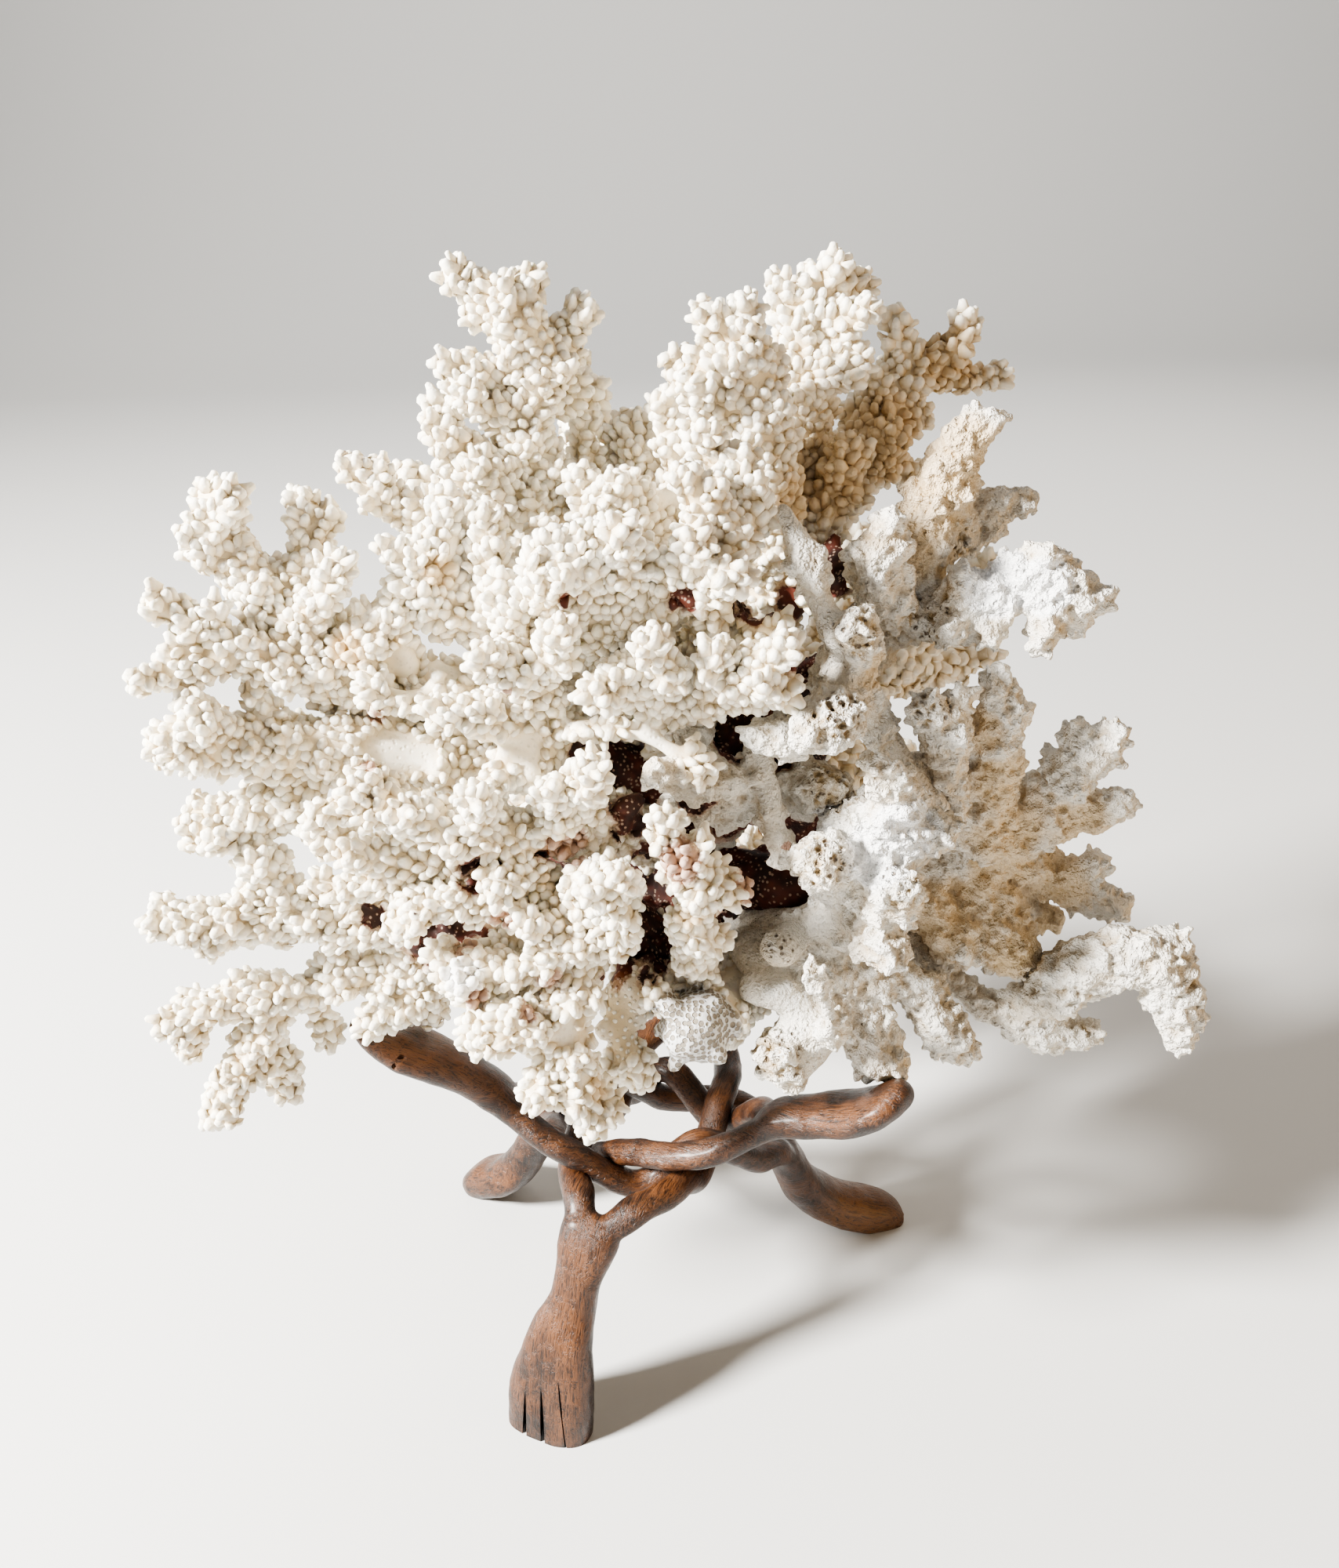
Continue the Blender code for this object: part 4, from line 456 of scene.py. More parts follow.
# Short bridges of coral between branches of a limb, as (x, y, z, radius) along each.
BRIDGES = {
    "right_mid": (((54, 1, 168, 6.5), (54, -4, 181, 6.5), (55, -11, 193, 5)),),
    "bottom_right": (((37, -30, 143, 5), (43, -31, 141, 5.5), (50, -33, 141, 5)),),
}

# A broken twig of coral caught between two limbs, as (x, y, z, radius).
SPLINTER = ((-39, -37, 209, 1.5), (-34, -37, 213, 1.7), (-28, -35, 217, 1.4))

LEG_SLOT = "waxed_brown_wood"
LEG_ORDER = ("stand_leg_front", "stand_leg_right", "stand_leg_left")
WORN_LIMBS = ("bottom_right", "right_high", "right_mid", "right_low", "bone_front")

# Drying splits in the front foot as (x, y, height, degrees that it leans).
SPLITS = ((-34.7, -65.0, 25.0, 5.0), (-29.0, -67.0, 34.0, 2.0), (-22.6, -67.0, 27.0, -2.0))


class Value:
    """A socket of a material's graph. Arithmetic on it adds Math nodes."""

    def __init__(self, graph: "Graph", socket: bpy.types.NodeSocket) -> None:
        """Keeps the socket.

        Args:
            graph: Graph that the socket is in.
            socket: Output of one of its nodes.
        """
        self.graph = graph
        self.socket = socket

    def __add__(self, other: "Value | float") -> "Value":
        """Sum."""
        return self.graph.maths("ADD", self, other)

    __radd__ = __add__

    def __sub__(self, other: "Value | float") -> "Value":
        """Difference."""
        return self.graph.maths("SUBTRACT", self, other)

    def __rsub__(self, other: "Value | float") -> "Value":
        """Difference, the other way round."""
        return self.graph.maths("SUBTRACT", other, self)

    def __mul__(self, other: "Value | float") -> "Value":
        """Product."""
        return self.graph.maths("MULTIPLY", self, other)

    __rmul__ = __mul__

    def ramp(self, low: float, high: float) -> "Value":
        """Smooth step from 0 at low to 1 at high.

        Args:
            low: Value that gives 0.
            high: Value that gives 1; it may be the smaller of the two.

        Returns:
            The stepped value.
        """
        settings = {"interpolation_type": "SMOOTHSTEP"}
        sockets = {"Value": self, "From Min": low, "From Max": high}
        return self.graph.node("ShaderNodeMapRange", settings, sockets)


Input = Value | float | Colour


class Graph:
    """Builds one procedural material."""

    def __init__(self, name: str) -> None:
        """Makes an empty material.

        Args:
            name: Name of the material.
        """
        self.material = bpy.data.materials.new(name)
        self.material.use_nodes = True
        self.tree = self.material.node_tree
        self.tree.nodes.clear()

    def node(
        self, kind: str, settings: dict[str, object], sockets: dict[str | int, Input],
        output: str | int = 0,
    ) -> Value:
        """Adds a node.

        Args:
            kind: Type of the node.
            settings: Properties of the node, set before its sockets.
            sockets: Values or links, by the socket's name or place.
            output: Name or place of the socket that is wanted.

        Returns:
            The node's output.
        """
        made = self.tree.nodes.new(kind)
        for key, value in settings.items():
            setattr(made, key, value)
        for key, value in sockets.items():
            if isinstance(value, Value):
                self.tree.links.new(value.socket, made.inputs[key])
            else:
                made.inputs[key].default_value = value
        return Value(self, made.outputs[output])

    def maths(self, operation: str, a: Input, b: Input) -> Value:
        """One Math node on two numbers."""
        return self.node("ShaderNodeMath", {"operation": operation}, {0: a, 1: b})

    def mix(self, share: Input, a: Input, b: Input) -> Value:
        """Colour a where share is 0 and b where it is 1."""
        return self.node("ShaderNodeMix", {"data_type": "RGBA"}, {0: share, 6: a, 7: b}, 2)

    def place(self) -> Value:
        """Object coordinates."""
        return self.node("ShaderNodeTexCoord", {}, {}, "Object")

    def attribute(self, name: str, output: str = "Fac") -> Value:
        """An attribute of the piece's mesh."""
        return self.node("ShaderNodeAttribute", {"attribute_name": name}, {}, output)

    def noise(self, where: Value, scale: float, detail: float = 3.0, rough: float = 0.55) -> Value:
        """Noise between 0 and 1.

        Args:
            where: Coordinates.
            scale: Features in each unit of the coordinates.
            detail: Octaves.
            rough: Strength of each octave against the one before.

        Returns:
            The noise.
        """
        sockets = {"Vector": where, "Scale": scale, "Detail": detail, "Roughness": rough}
        return self.node("ShaderNodeTexNoise", {}, sockets)

    def cells(self, where: Value, scale: float, randomness: float = 1.0) -> Value:
        """Distance from the nearest middle in a field of cells.

        Args:
            where: Coordinates.
            scale: Cells in each unit of the coordinates.
            randomness: 0 for a lattice, 1 for scattered cells.

        Returns:
            The distance, in cells.
        """
        sockets = {"Vector": where, "Scale": scale, "Randomness": randomness}
        return self.node("ShaderNodeTexVoronoi", {"feature": "F1"}, sockets, "Distance")

    def bump(self, height: Value, depth: float) -> Value:
        """Normal of a relief, from its height between 0 and 1 and its depth in metres."""
        return self.node("ShaderNodeBump", {}, {"Height": height, "Distance": depth, "Strength": 1.0})

    def finish(self, fixed: dict[str, float], varying: dict[str, Input]) -> bpy.types.Material:
        """Ends the graph in a Principled shader.

        Args:
            fixed: Constant values of the shader's own sockets.
            varying: Links to them.

        Returns:
            The material.
        """
        shader = self.node("ShaderNodeBsdfPrincipled", {}, {**fixed, **varying}, "BSDF")
        out = self.tree.nodes.new("ShaderNodeOutputMaterial")
        self.tree.links.new(shader.socket, out.inputs["Surface"])
        return self.material


@dataclass(frozen=True)
class CoralFinish:
    """Coral skeleton: pale nub tips, painted shade in hollows, pits, cups and holes; grain, stains, dots,
    rust.
    """

    slot: str
    tip: Colour
    hollow_shade: Colour
    tan: Colour = (0.66, 0.49, 0.28, 1.0)
    chalk: Colour = (0.86, 0.84, 0.80, 1.0)
    dark: Colour = (0.030, 0.011, 0.009, 1.0)
    maroon: Colour = (0.13, 0.035, 0.022, 1.0)
    dot: Colour = (0.50, 0.36, 0.28, 1.0)
    rust: Colour = (0.26, 0.085, 0.035, 1.0)
    cup_shade_grey: Colour = (0.56, 0.54, 0.50, 1.0)
    pore_shade: Colour = (0.17, 0.115, 0.07, 1.0)
    comb: Colour = (0.66, 0.655, 0.64, 1.0)
    cup: Colour = (0.27, 0.235, 0.19, 1.0)
    roughness: float = 0.55
    subsurface: float = 0.12
    subsurface_radius: tuple[float, float, float] = (1.0, 0.76, 0.42)
    subsurface_scale: float = 0.0026
    specular: float = 0.35
    cup_scale: float = 640.0  # cups in a metre: one every 1.6 mm
    comb_scale: float = 590.0
    sponge_scale: float = 430.0
    crust_scale: float = 420.0
    grain_depth: float = 0.00016
    crust: float = 0.0  # how strongly a crust of lumps of about 2 mm shows

    def material(self) -> bpy.types.Material:
        """Builds the finish's nodes.

        Returns:
            The material.
        """
        g = Graph(self.slot)
        where = g.place()
        broad = g.noise(where, 60.0, 3.0)
        fine = g.noise(where, 900.0, 2.0, 0.65)
        cups = g.cells(where, self.cup_scale)
        honey = g.attribute(Mark.HONEYCOMB.value).ramp(0.35, 0.65)
        hole = g.cells(where, self.comb_scale, randomness=0.55).ramp(0.56, 0.4)
        pores = (g.attribute(Mark.PORES.value) + (broad - 0.5) * 0.6).ramp(0.35, 0.75)
        sponge = g.cells(where, self.sponge_scale).ramp(0.36, 0.16) * fine.ramp(0.38, 0.55) * pores
        colour = self.skin_colour(g, broad, fine, cups)
        # The honeycomb's cups are painted dark as the shade inside them.
        colour = g.mix(honey, colour, g.mix(hole, self.comb, self.cup))
        # Pores are painted dark as the shade inside them.
        colour = g.mix(sponge * 0.9, colour, self.pore_shade)
        colour = self.soaked_colour(g, colour, broad, fine, cups)
        relief = fine * 0.35 + (1.0 - cups.ramp(0.4, 0.1)) * 0.65
        relief = relief + g.noise(where, self.crust_scale, 3.0, 0.65) * self.crust
        relief = relief - hole * honey * 4.0 - sponge * 3.0
        fixed = {
            "Subsurface Weight": self.subsurface, "Subsurface Radius": self.subsurface_radius,
            "Subsurface Scale": self.subsurface_scale, "Specular IOR Level": self.specular,
        }
        varying = {
            "Base Color": colour, "Roughness": self.roughness + (fine - 0.5) * 0.2,
            "Normal": g.bump(relief, self.grain_depth),
        }
        return g.finish(fixed, varying)

    def skin_colour(self, g: Graph, broad: Value, fine: Value, cups: Value) -> Value:
        """Colour of the clean skeleton: tips over hollows in painted shade, tan and painted warm shade,
        chalky patches, and painted shade in bare patches' cups.

        Args:
            g: Graph of the material.
            broad: Noise of 17 mm.
            fine: Noise of about 1 mm.
            cups: Distance from the nearest cup's middle.

        Returns:
            The colour.
        """
        # Low rise, at nub roots, between nubs and in dents and pits, paints the hollows' darker colour as
        # shade.
        rise = (g.attribute("rise") + (fine - 0.5) * 0.25).ramp(0.0, 0.9)
        colour = g.mix(rise, self.hollow_shade, self.tip)
        colour = g.mix(broad.ramp(0.42, 0.75) * 0.25, colour, self.tan)
        # The tan mark is partly the coral's own tan, partly painted warm shade on sides turned from the key
        # light.
        tan = (g.attribute(Mark.TAN.value) + (broad - 0.5) * 0.35).ramp(0.1, 1.1)
        colour = g.mix(tan * 0.75, colour, self.tan)
        white = (g.attribute(Mark.WHITE.value) + (fine - 0.5) * 0.5).ramp(0.2, 0.7)
        colour = g.mix(white, colour, self.chalk)
        bare = g.attribute(Mark.BARE.value).ramp(0.2, 0.9)
        # Grey in the cups of bare patches is painted shade.
        return g.mix(cups.ramp(0.42, 0.12) * bare * 0.15, colour, self.cup_shade_grey)

    def soaked_colour(self, g: Graph, colour: Value, broad: Value, fine: Value, cups: Value) -> Value:
        """The colour with its dark dotted stains, their rusty edges and the open holes painted dark as
        their shade.

        Args:
            g: Graph of the material.
            colour: Colour so far.
            broad: Noise of 17 mm.
            fine: Noise of about 1 mm.
            cups: Distance from the nearest cup's middle.

        Returns:
            The colour.
        """
        mark = g.attribute(Mark.STAIN.value)
        stain = (mark + (broad - 0.5) * 0.9 + (fine - 0.5) * 0.5).ramp(0.38, 0.6)
        soaked = g.mix(g.noise(g.place(), 130.0, 2.0).ramp(0.35, 0.7), self.dark, self.maroon)
        soaked = g.mix(cups.ramp(0.34, 0.2) * 0.8, soaked, self.dot)
        colour = g.mix(stain, colour, soaked)
        rust = g.attribute(Mark.RUST.value) + (fine - 0.5) * 1.1 + (broad - 0.5) * 0.5
        edge = (mark + (fine - 0.5) * 0.8).ramp(0.12, 0.4) * (1.0 - stain) * 0.55
        colour = g.mix(g.maths("MAXIMUM", rust.ramp(0.35, 0.8) * 0.7, edge), colour, self.rust)
        # Holes are painted dark as the shade inside them.
        return g.mix(g.attribute(Mark.HOLE.value).ramp(0.3, 0.8), colour, self.dark)


# The second colour of each finish is the painted shade of its hollows.
CORAL_FINISHES = (
    CoralFinish("cream_coral", (0.93, 0.89, 0.79, 1.0), (0.72, 0.59, 0.395, 1.0)),
    CoralFinish(
        "chalky_coral", (0.76, 0.735, 0.675, 1.0), (0.36, 0.27, 0.16, 1.0), roughness=0.75,
        chalk=(0.84, 0.835, 0.82, 1.0), subsurface=0.0, grain_depth=0.0007, crust=4.0,
    ),
    CoralFinish("stained_coral", (0.72, 0.6, 0.5, 1.0), (0.4, 0.26, 0.18, 1.0), roughness=0.6),
)


@dataclass(frozen=True)
class WoodFinish:
    """Old brown hardwood under wax: grain along each leg, bright edges that are partly wear and partly a
    painted highlight, and painted shade on the front foot.
    """

    slot: str = LEG_SLOT
    deep: Colour = (0.006, 0.0026, 0.0018, 1.0)
    brown: Colour = (0.038, 0.0138, 0.0058, 1.0)
    light: Colour = (0.125, 0.049, 0.018, 1.0)
    amber: Colour = (0.15, 0.062, 0.013, 1.0)
    grain_depth: float = 0.00055

    def material(self) -> bpy.types.Material:
        """Builds the finish's nodes.

        Returns:
            The material.
        """
        g = Graph(self.slot)
        where = g.place()
        grain = g.attribute("grain", "Vector")
        streak = g.noise(grain, 0.55, 4.0, 0.65)
        fibre = g.noise(grain, 1.9, 3.0, 0.7)
        blotch = g.noise(where, 55.0, 4.0, 0.6)
        scuff = g.noise(where, 520.0, 4.0, 0.7)
        colour = g.mix((streak * 0.7 + blotch * 0.5).ramp(0.42, 0.78), self.deep, self.brown)
        # The worn mark adds wear and a painted highlight on faces turned up and towards the camera.
        bright = blotch * 0.75 + fibre * 0.45 + streak * 0.3 + g.attribute("worn") * 0.3
        colour = g.mix(bright.ramp(0.68, 1.12), colour, self.light)
        colour = g.mix(g.attribute("amber") * (0.25 + blotch * 0.8), colour, self.amber)
        colour = g.mix(fibre.ramp(0.5, 0.36) * 0.8, colour, self.deep)
        # Painted shade on the front foot's right and lower side.
        colour = g.mix(g.attribute("shaded").ramp(0.1, 0.9) * 0.8, colour, self.deep)
        relief = fibre * 0.7 + scuff * 0.35 + streak * 0.5
        return g.finish(
            {"Specular IOR Level": 0.38, "Coat Roughness": 0.25, "Coat Weight": 0.14},
            {
                "Base Color": colour,
                "Roughness": 0.4 + (scuff - 0.5) * 0.4 + (blotch - 0.5) * 0.2,
                "Normal": g.bump(relief, self.grain_depth),
            },
        )


@dataclass(frozen=True)
class FloorFinish:
    """Plain pale studio paper."""

    colour: Colour = (0.61, 0.605, 0.59, 1.0)
    cloud: Colour = (0.6, 0.6, 0.6, 1.0)

    def material(self) -> bpy.types.Material:
        """Builds the finish's nodes.

        Returns:
            The material.
        """
        g = Graph("studio_paper")
        tone = g.mix(g.noise(g.place(), 3.0, 2.0) * 0.06, self.colour, self.cloud)
        return g.finish({"Roughness": 0.85, "Specular IOR Level": 0.2}, {"Base Color": tone})


class Bench:
    """The operators that shape pieces, each used on one object at a time."""

    @staticmethod
    def only(piece: bpy.types.Object) -> None:
        """Selects one object and nothing else.

        Args:
            piece: Object to select and make active.
        """
        bpy.ops.object.select_all(action="DESELECT")
        piece.select_set(True)
        bpy.context.view_layer.objects.active = piece

    @staticmethod
    def modify(piece: bpy.types.Object, kind: str, settings: dict[str, object]) -> None:
        """Adds a modifier and applies it.

        Args:
            piece: Object to change.
            kind: Type of the modifier.
            settings: Its properties.
        """
        Bench.only(piece)
        modifier = piece.modifiers.new("Step", kind)
        for key, value in settings.items():
            setattr(modifier, key, value)
        bpy.ops.object.modifier_apply(modifier=modifier.name)

    @staticmethod
    def cut(piece: bpy.types.Object, cutter: bpy.types.Object) -> None:
        """Cuts the piece with the cutter, and removes the cutter.

        Args:
            piece: Object to change.
            cutter: Closed mesh that is used up.
        """
        Bench.settle(cutter)
        Bench.modify(piece, "BOOLEAN", {"operation": "DIFFERENCE", "solver": "EXACT", "object": cutter})
        bpy.data.objects.remove(cutter, do_unlink=True)

    @staticmethod
    def settle(piece: bpy.types.Object) -> None:
        """Puts the object's turn, scale and place into its mesh."""
        Bench.only(piece)
        bpy.ops.object.transform_apply(location=True, rotation=True, scale=True)


@dataclass
class Shell:
    """A mesh as arrays: points in mm from the middle of the feet, faces and point attributes."""

    points: np.ndarray
    faces: list[np.ndarray]
    marks: dict[str, np.ndarray] = field(default_factory=dict)

    def to_object(self, name: str) -> bpy.types.Object:
        """The shell as an object in the frame, smooth shaded.

        Args:
            name: Name of the object and its mesh.

        Returns:
            The object, at the origin.
        """
        mesh = bpy.data.meshes.new(name)
        mesh.vertices.add(len(self.points))
        placed = (self.points + PLAN_SHIFT) * MM
        mesh.vertices.foreach_set("co", placed.astype(np.float32).ravel())
        corners = np.concatenate([block.ravel() for block in self.faces])
        sizes = np.concatenate([np.full(len(block), block.shape[1]) for block in self.faces])
        mesh.loops.add(len(corners))
        mesh.loops.foreach_set("vertex_index", corners.astype(np.int32))
        mesh.polygons.add(len(sizes))
        starts = np.concatenate([[0], np.cumsum(sizes)[:-1]])
        mesh.polygons.foreach_set("loop_start", starts.astype(np.int32))
        mesh.update(calc_edges=True)
        mesh.polygons.foreach_set("use_smooth", np.ones(len(sizes), bool))
        for mark, values in self.marks.items():
            write_attribute(mesh, mark, values)
        piece = bpy.data.objects.new(name, mesh)
        bpy.context.scene.collection.objects.link(piece)
        return piece

    @classmethod
    def of_object(cls, piece: bpy.types.Object) -> "Shell":
        """Reads an object's mesh.

        Args:
            piece: Object of the frame, at the origin.

        Returns:
            Its points and faces, with no marks.
        """
        mesh = piece.data
        points = np.empty(len(mesh.vertices) * 3, np.float32)
        mesh.vertices.foreach_get("co", points)
        sizes = np.empty(len(mesh.polygons), np.int32)
        mesh.polygons.foreach_get("loop_total", sizes)
        corners = np.empty(len(mesh.loops), np.int32)
        mesh.loops.foreach_get("vertex_index", corners)
        starts = np.concatenate([[0], np.cumsum(sizes)[:-1]])
        faces = []
        for size in np.unique(sizes):
            first = starts[sizes == size]
            faces.append(corners[first[:, None] + np.arange(size)])
        return cls(points.reshape(-1, 3).astype(float) / MM - PLAN_SHIFT, faces)

    def triangles(self) -> np.ndarray:
        """Cuts every face to triangles.

        Returns:
            Three point numbers for each.
        """
        out = []
        for block in self.faces:
            for k in range(1, block.shape[1] - 1):
                out.append(block[:, [0, k, k + 1]])
        return np.concatenate(out)

    def normals(self) -> np.ndarray:
        """Averages the faces round each point.

        Returns:
            The normal of each point.
        """
        tris = self.triangles()
        a, b, c = (self.points[tris[:, k]] for k in range(3))
        flat = np.cross(b - a, c - a)
        out = np.zeros_like(self.points)
        for k in range(3):
            np.add.at(out, tris[:, k], flat)
        return out / np.maximum(np.linalg.norm(out, axis=1, keepdims=True), 1e-9)


def write_attribute(mesh: bpy.types.Mesh, name: str, values: np.ndarray) -> None:
    """Adds a point attribute of numbers, or of vectors where the values have three columns.

    Args:
        mesh: Mesh to add it to.
        name: Name of the attribute.
        values: One value for each point.
    """
    kind, key = ("FLOAT", "value") if values.ndim == 1 else ("FLOAT_VECTOR", "vector")
    layer = mesh.attributes.new(name, kind, "POINT")
    layer.data.foreach_set(key, values.astype(np.float32).ravel())


def reworked(shell: Shell, steps: dict[str, dict[str, object]], kept: str = "") -> Shell:
    """Puts a shell through modifiers.

    Args:
        shell: Shell to change.
        steps: Settings by the modifiers' types, in order.
        kept: Name of a number attribute that is carried over.

    Returns:
        The new shell.
    """
    base = shell.to_object("reworked")
    for kind, settings in steps.items():
        Bench.modify(base, kind, settings)
    out = Shell.of_object(base)
    if kept:
        values = np.empty(len(base.data.vertices), np.float32)
        base.data.attributes[kept].data.foreach_get("value", values)
        out.marks[kept] = values
    bpy.data.objects.remove(base, do_unlink=True)
    return out


def search_tree(piece: bpy.types.Object) -> BVHTree:
    """Search tree of an object's faces, in mm from the middle of the feet."""
    shell = Shell.of_object(piece)
    return BVHTree.FromPolygons(shell.points.tolist(), shell.triangles().tolist())


def copies(points: np.ndarray, blocks: list[np.ndarray], marks: dict[str, np.ndarray]) -> Shell:
    """Many copies of one form.

    Args:
        points: Points of each copy, as (copies, points, 3).
        blocks: Faces of the form, by their number of corners.
        marks: Marks of the form's points.

    Returns:
        All the copies as one shell.
    """
    offset = (np.arange(len(points)) * points.shape[1])[:, None, None]
    faces = [(faces + offset).reshape(-1, faces.shape[1]) for faces in blocks]
    marks = {name: np.tile(values, len(points)) for name, values in marks.items()}
    return Shell(points.reshape(-1, 3), faces, marks)


def join(shells: list[Shell]) -> Shell:
    """Puts several shells together.

    Args:
        shells: The shells.

    Returns:
        One shell; a mark that one of them lacks is 0 there.
    """
    keys = sorted({key for shell in shells for key in shell.marks})
    offset, faces = 0, []
    for shell in shells:
        faces += [block + offset for block in shell.faces]
        offset += len(shell.points)
    marks = {
        key: np.concatenate([shell.marks.get(key, np.zeros(len(shell.points))) for shell in shells])
        for key in keys
    }
    return Shell(np.concatenate([shell.points for shell in shells]), faces, marks)


def smooth_path(rows: object, step: float) -> Rows:
    """Rows resampled along a smooth curve.

    Args:
        rows: Rows whose first three numbers, or all if fewer, are a place.
        step: Distance between the new rows.

    Returns:
        The new rows.
    """
    rows = np.array(rows, float)
    padded = np.vstack([2 * rows[0] - rows[1], rows, 2 * rows[-1] - rows[-2]])
    out = []
    for i in range(1, len(padded) - 2):
        p0, p1, p2, p3 = padded[i - 1 : i + 3]
        parts = max(1, round(float(np.linalg.norm(p2[:3] - p1[:3])) / step))
        for t in np.arange(parts) / parts:
            out.append(
                0.5 * (2 * p1 + (p2 - p0) * t + (2 * p0 - 5 * p1 + 4 * p2 - p3) * t**2
                       + (3 * p1 - p0 - 3 * p2 + p3) * t**3)
            )
    out.append(rows[-1])
    return np.array(out)


def sweep(rows: Rows, sides: int, across: np.ndarray | None = None, square: float = 2.0) -> Shell:
    """A closed sweep.

    Args:
        rows: Rows of (x, y, z, radius), or (x, y, z, width, thickness) where across is given.
        sides: Corners of a section.
        across: Direction of the width.
        square: 2 for a round section, more for one with fuller corners.

    Returns:
        The shell.
    """
    centres = rows[:, :3]
    along = np.gradient(centres, axis=0)
    along /= np.linalg.norm(along, axis=1, keepdims=True)
    side = np.array(ANY_SIDE if across is None else across, float)
    turn = np.linspace(0, 2 * math.pi, sides, endpoint=False)
    cos, sin = np.cos(turn), np.sin(turn)
    round_cos = np.sign(cos) * np.abs(cos) ** (2 / square)
    round_sin = np.sign(sin) * np.abs(sin) ** (2 / square)
    rings = []
    for row, way in zip(rows, along):
        if across is not None:
            side = np.array(across, float)
        side = side - way * side.dot(way)
        side /= np.linalg.norm(side)
        up = np.cross(way, side)
        half = (row[3], row[3]) if across is None else (row[3] / 2, row[4] / 2)
        rings.append(row[:3] + np.outer(round_cos * half[0], side) + np.outer(round_sin * half[1], up))
    points = np.concatenate(rings)
    count = len(rings)
    k = np.arange(sides)
    base = (np.arange(count - 1) * sides)[:, None]
    after = (k + 1) % sides
    quads = np.stack([base + k, base + after, base + sides + after, base + sides + k], -1)
    caps = np.stack([k[::-1], (count - 1) * sides + k])
    return Shell(points, [quads.reshape(-1, 4), caps])


def reach(points: np.ndarray, centre: object, radius: float) -> np.ndarray:
    """How far points are in a ball.

    Args:
        points: Places in mm.
        centre: Middle of the ball.
        radius: Where the strength is about a half.

    Returns:
        1 well inside the ball, 0 outside it, and smooth between.
    """
    away = np.linalg.norm(points - np.array(centre, float), axis=1)
    share = np.clip((1.3 * radius - away) / (0.7 * radius), 0, 1)
    return share * share * (3 - 2 * share)


def reach_of(mark: Mark, points: np.ndarray) -> np.ndarray:
    """How strongly a mark's patches show.

    Args:
        mark: The mark.
        points: Places in mm.

    Returns:
        The strength at each point, 0 to 1.
    """
    return np.maximum.reduce([reach(points, row[:3], row[3]) for row in PATCHES[mark]])


def wander(points: np.ndarray, size: float, seed: float) -> np.ndarray:
    """Smooth noise.

    Args:
        points: Places in mm.
        size: Size of its features in mm.
        seed: Number of the noise.

    Returns:
        The noise at each point, about 0.
    """
    moved = points / size + seed * 7.31
    return np.array([noise.noise(Vector(p)) for p in moved])


class Skeleton:
    """The middle lines of a set of branches."""

    def __init__(self, branches: tuple, step: float = 2.0) -> None:
        """Samples the branches.

        Args:
            branches: Rows of (x, y, z, radius) of each.
            step: Distance between samples in mm.
        """
        places, ways = [], []
        for branch in branches:
            rows = smooth_path(branch, step)
            way = np.gradient(rows[:, :3], axis=0)
            places.append(rows)
            ways.append(way / np.linalg.norm(way, axis=1, keepdims=True))
        self.rows = np.concatenate(places)
        self.ways = np.concatenate(ways)

    def nearest(self, points: np.ndarray) -> tuple[np.ndarray, np.ndarray]:
        """Which sample's skin is nearest to each point.

        Args:
            points: Places in mm.

        Returns:
            Index of the sample, and distance from its middle.
        """
        index = np.empty(len(points), int)
        away = np.empty(len(points))
        for start in range(0, len(points), 4000):
            part = points[start : start + 4000]
            gap = np.linalg.norm(part[:, None] - self.rows[None, :, :3], axis=2)
            best = (gap - self.rows[None, :, 3]).argmin(axis=1)
            index[start : start + 4000] = best
            away[start : start + 4000] = gap[np.arange(len(part)), best]
        return index, away


TRUNK = Skeleton(LIMBS["trunk"][:1])


def ball_shell() -> Shell:
    """Models the ball that every lump is a copy of.

    Returns:
        A ball of radius 1 about 0.
    """
    bpy.ops.object.select_all(action="DESELECT")
    bpy.ops.mesh.primitive_ico_sphere_add(subdivisions=2, radius=1.0)
    ball = bpy.context.active_object
    shell = Shell.of_object(ball)
    shell.points = (shell.points + PLAN_SHIFT) * MM
    bpy.data.objects.remove(ball, do_unlink=True)
    return shell


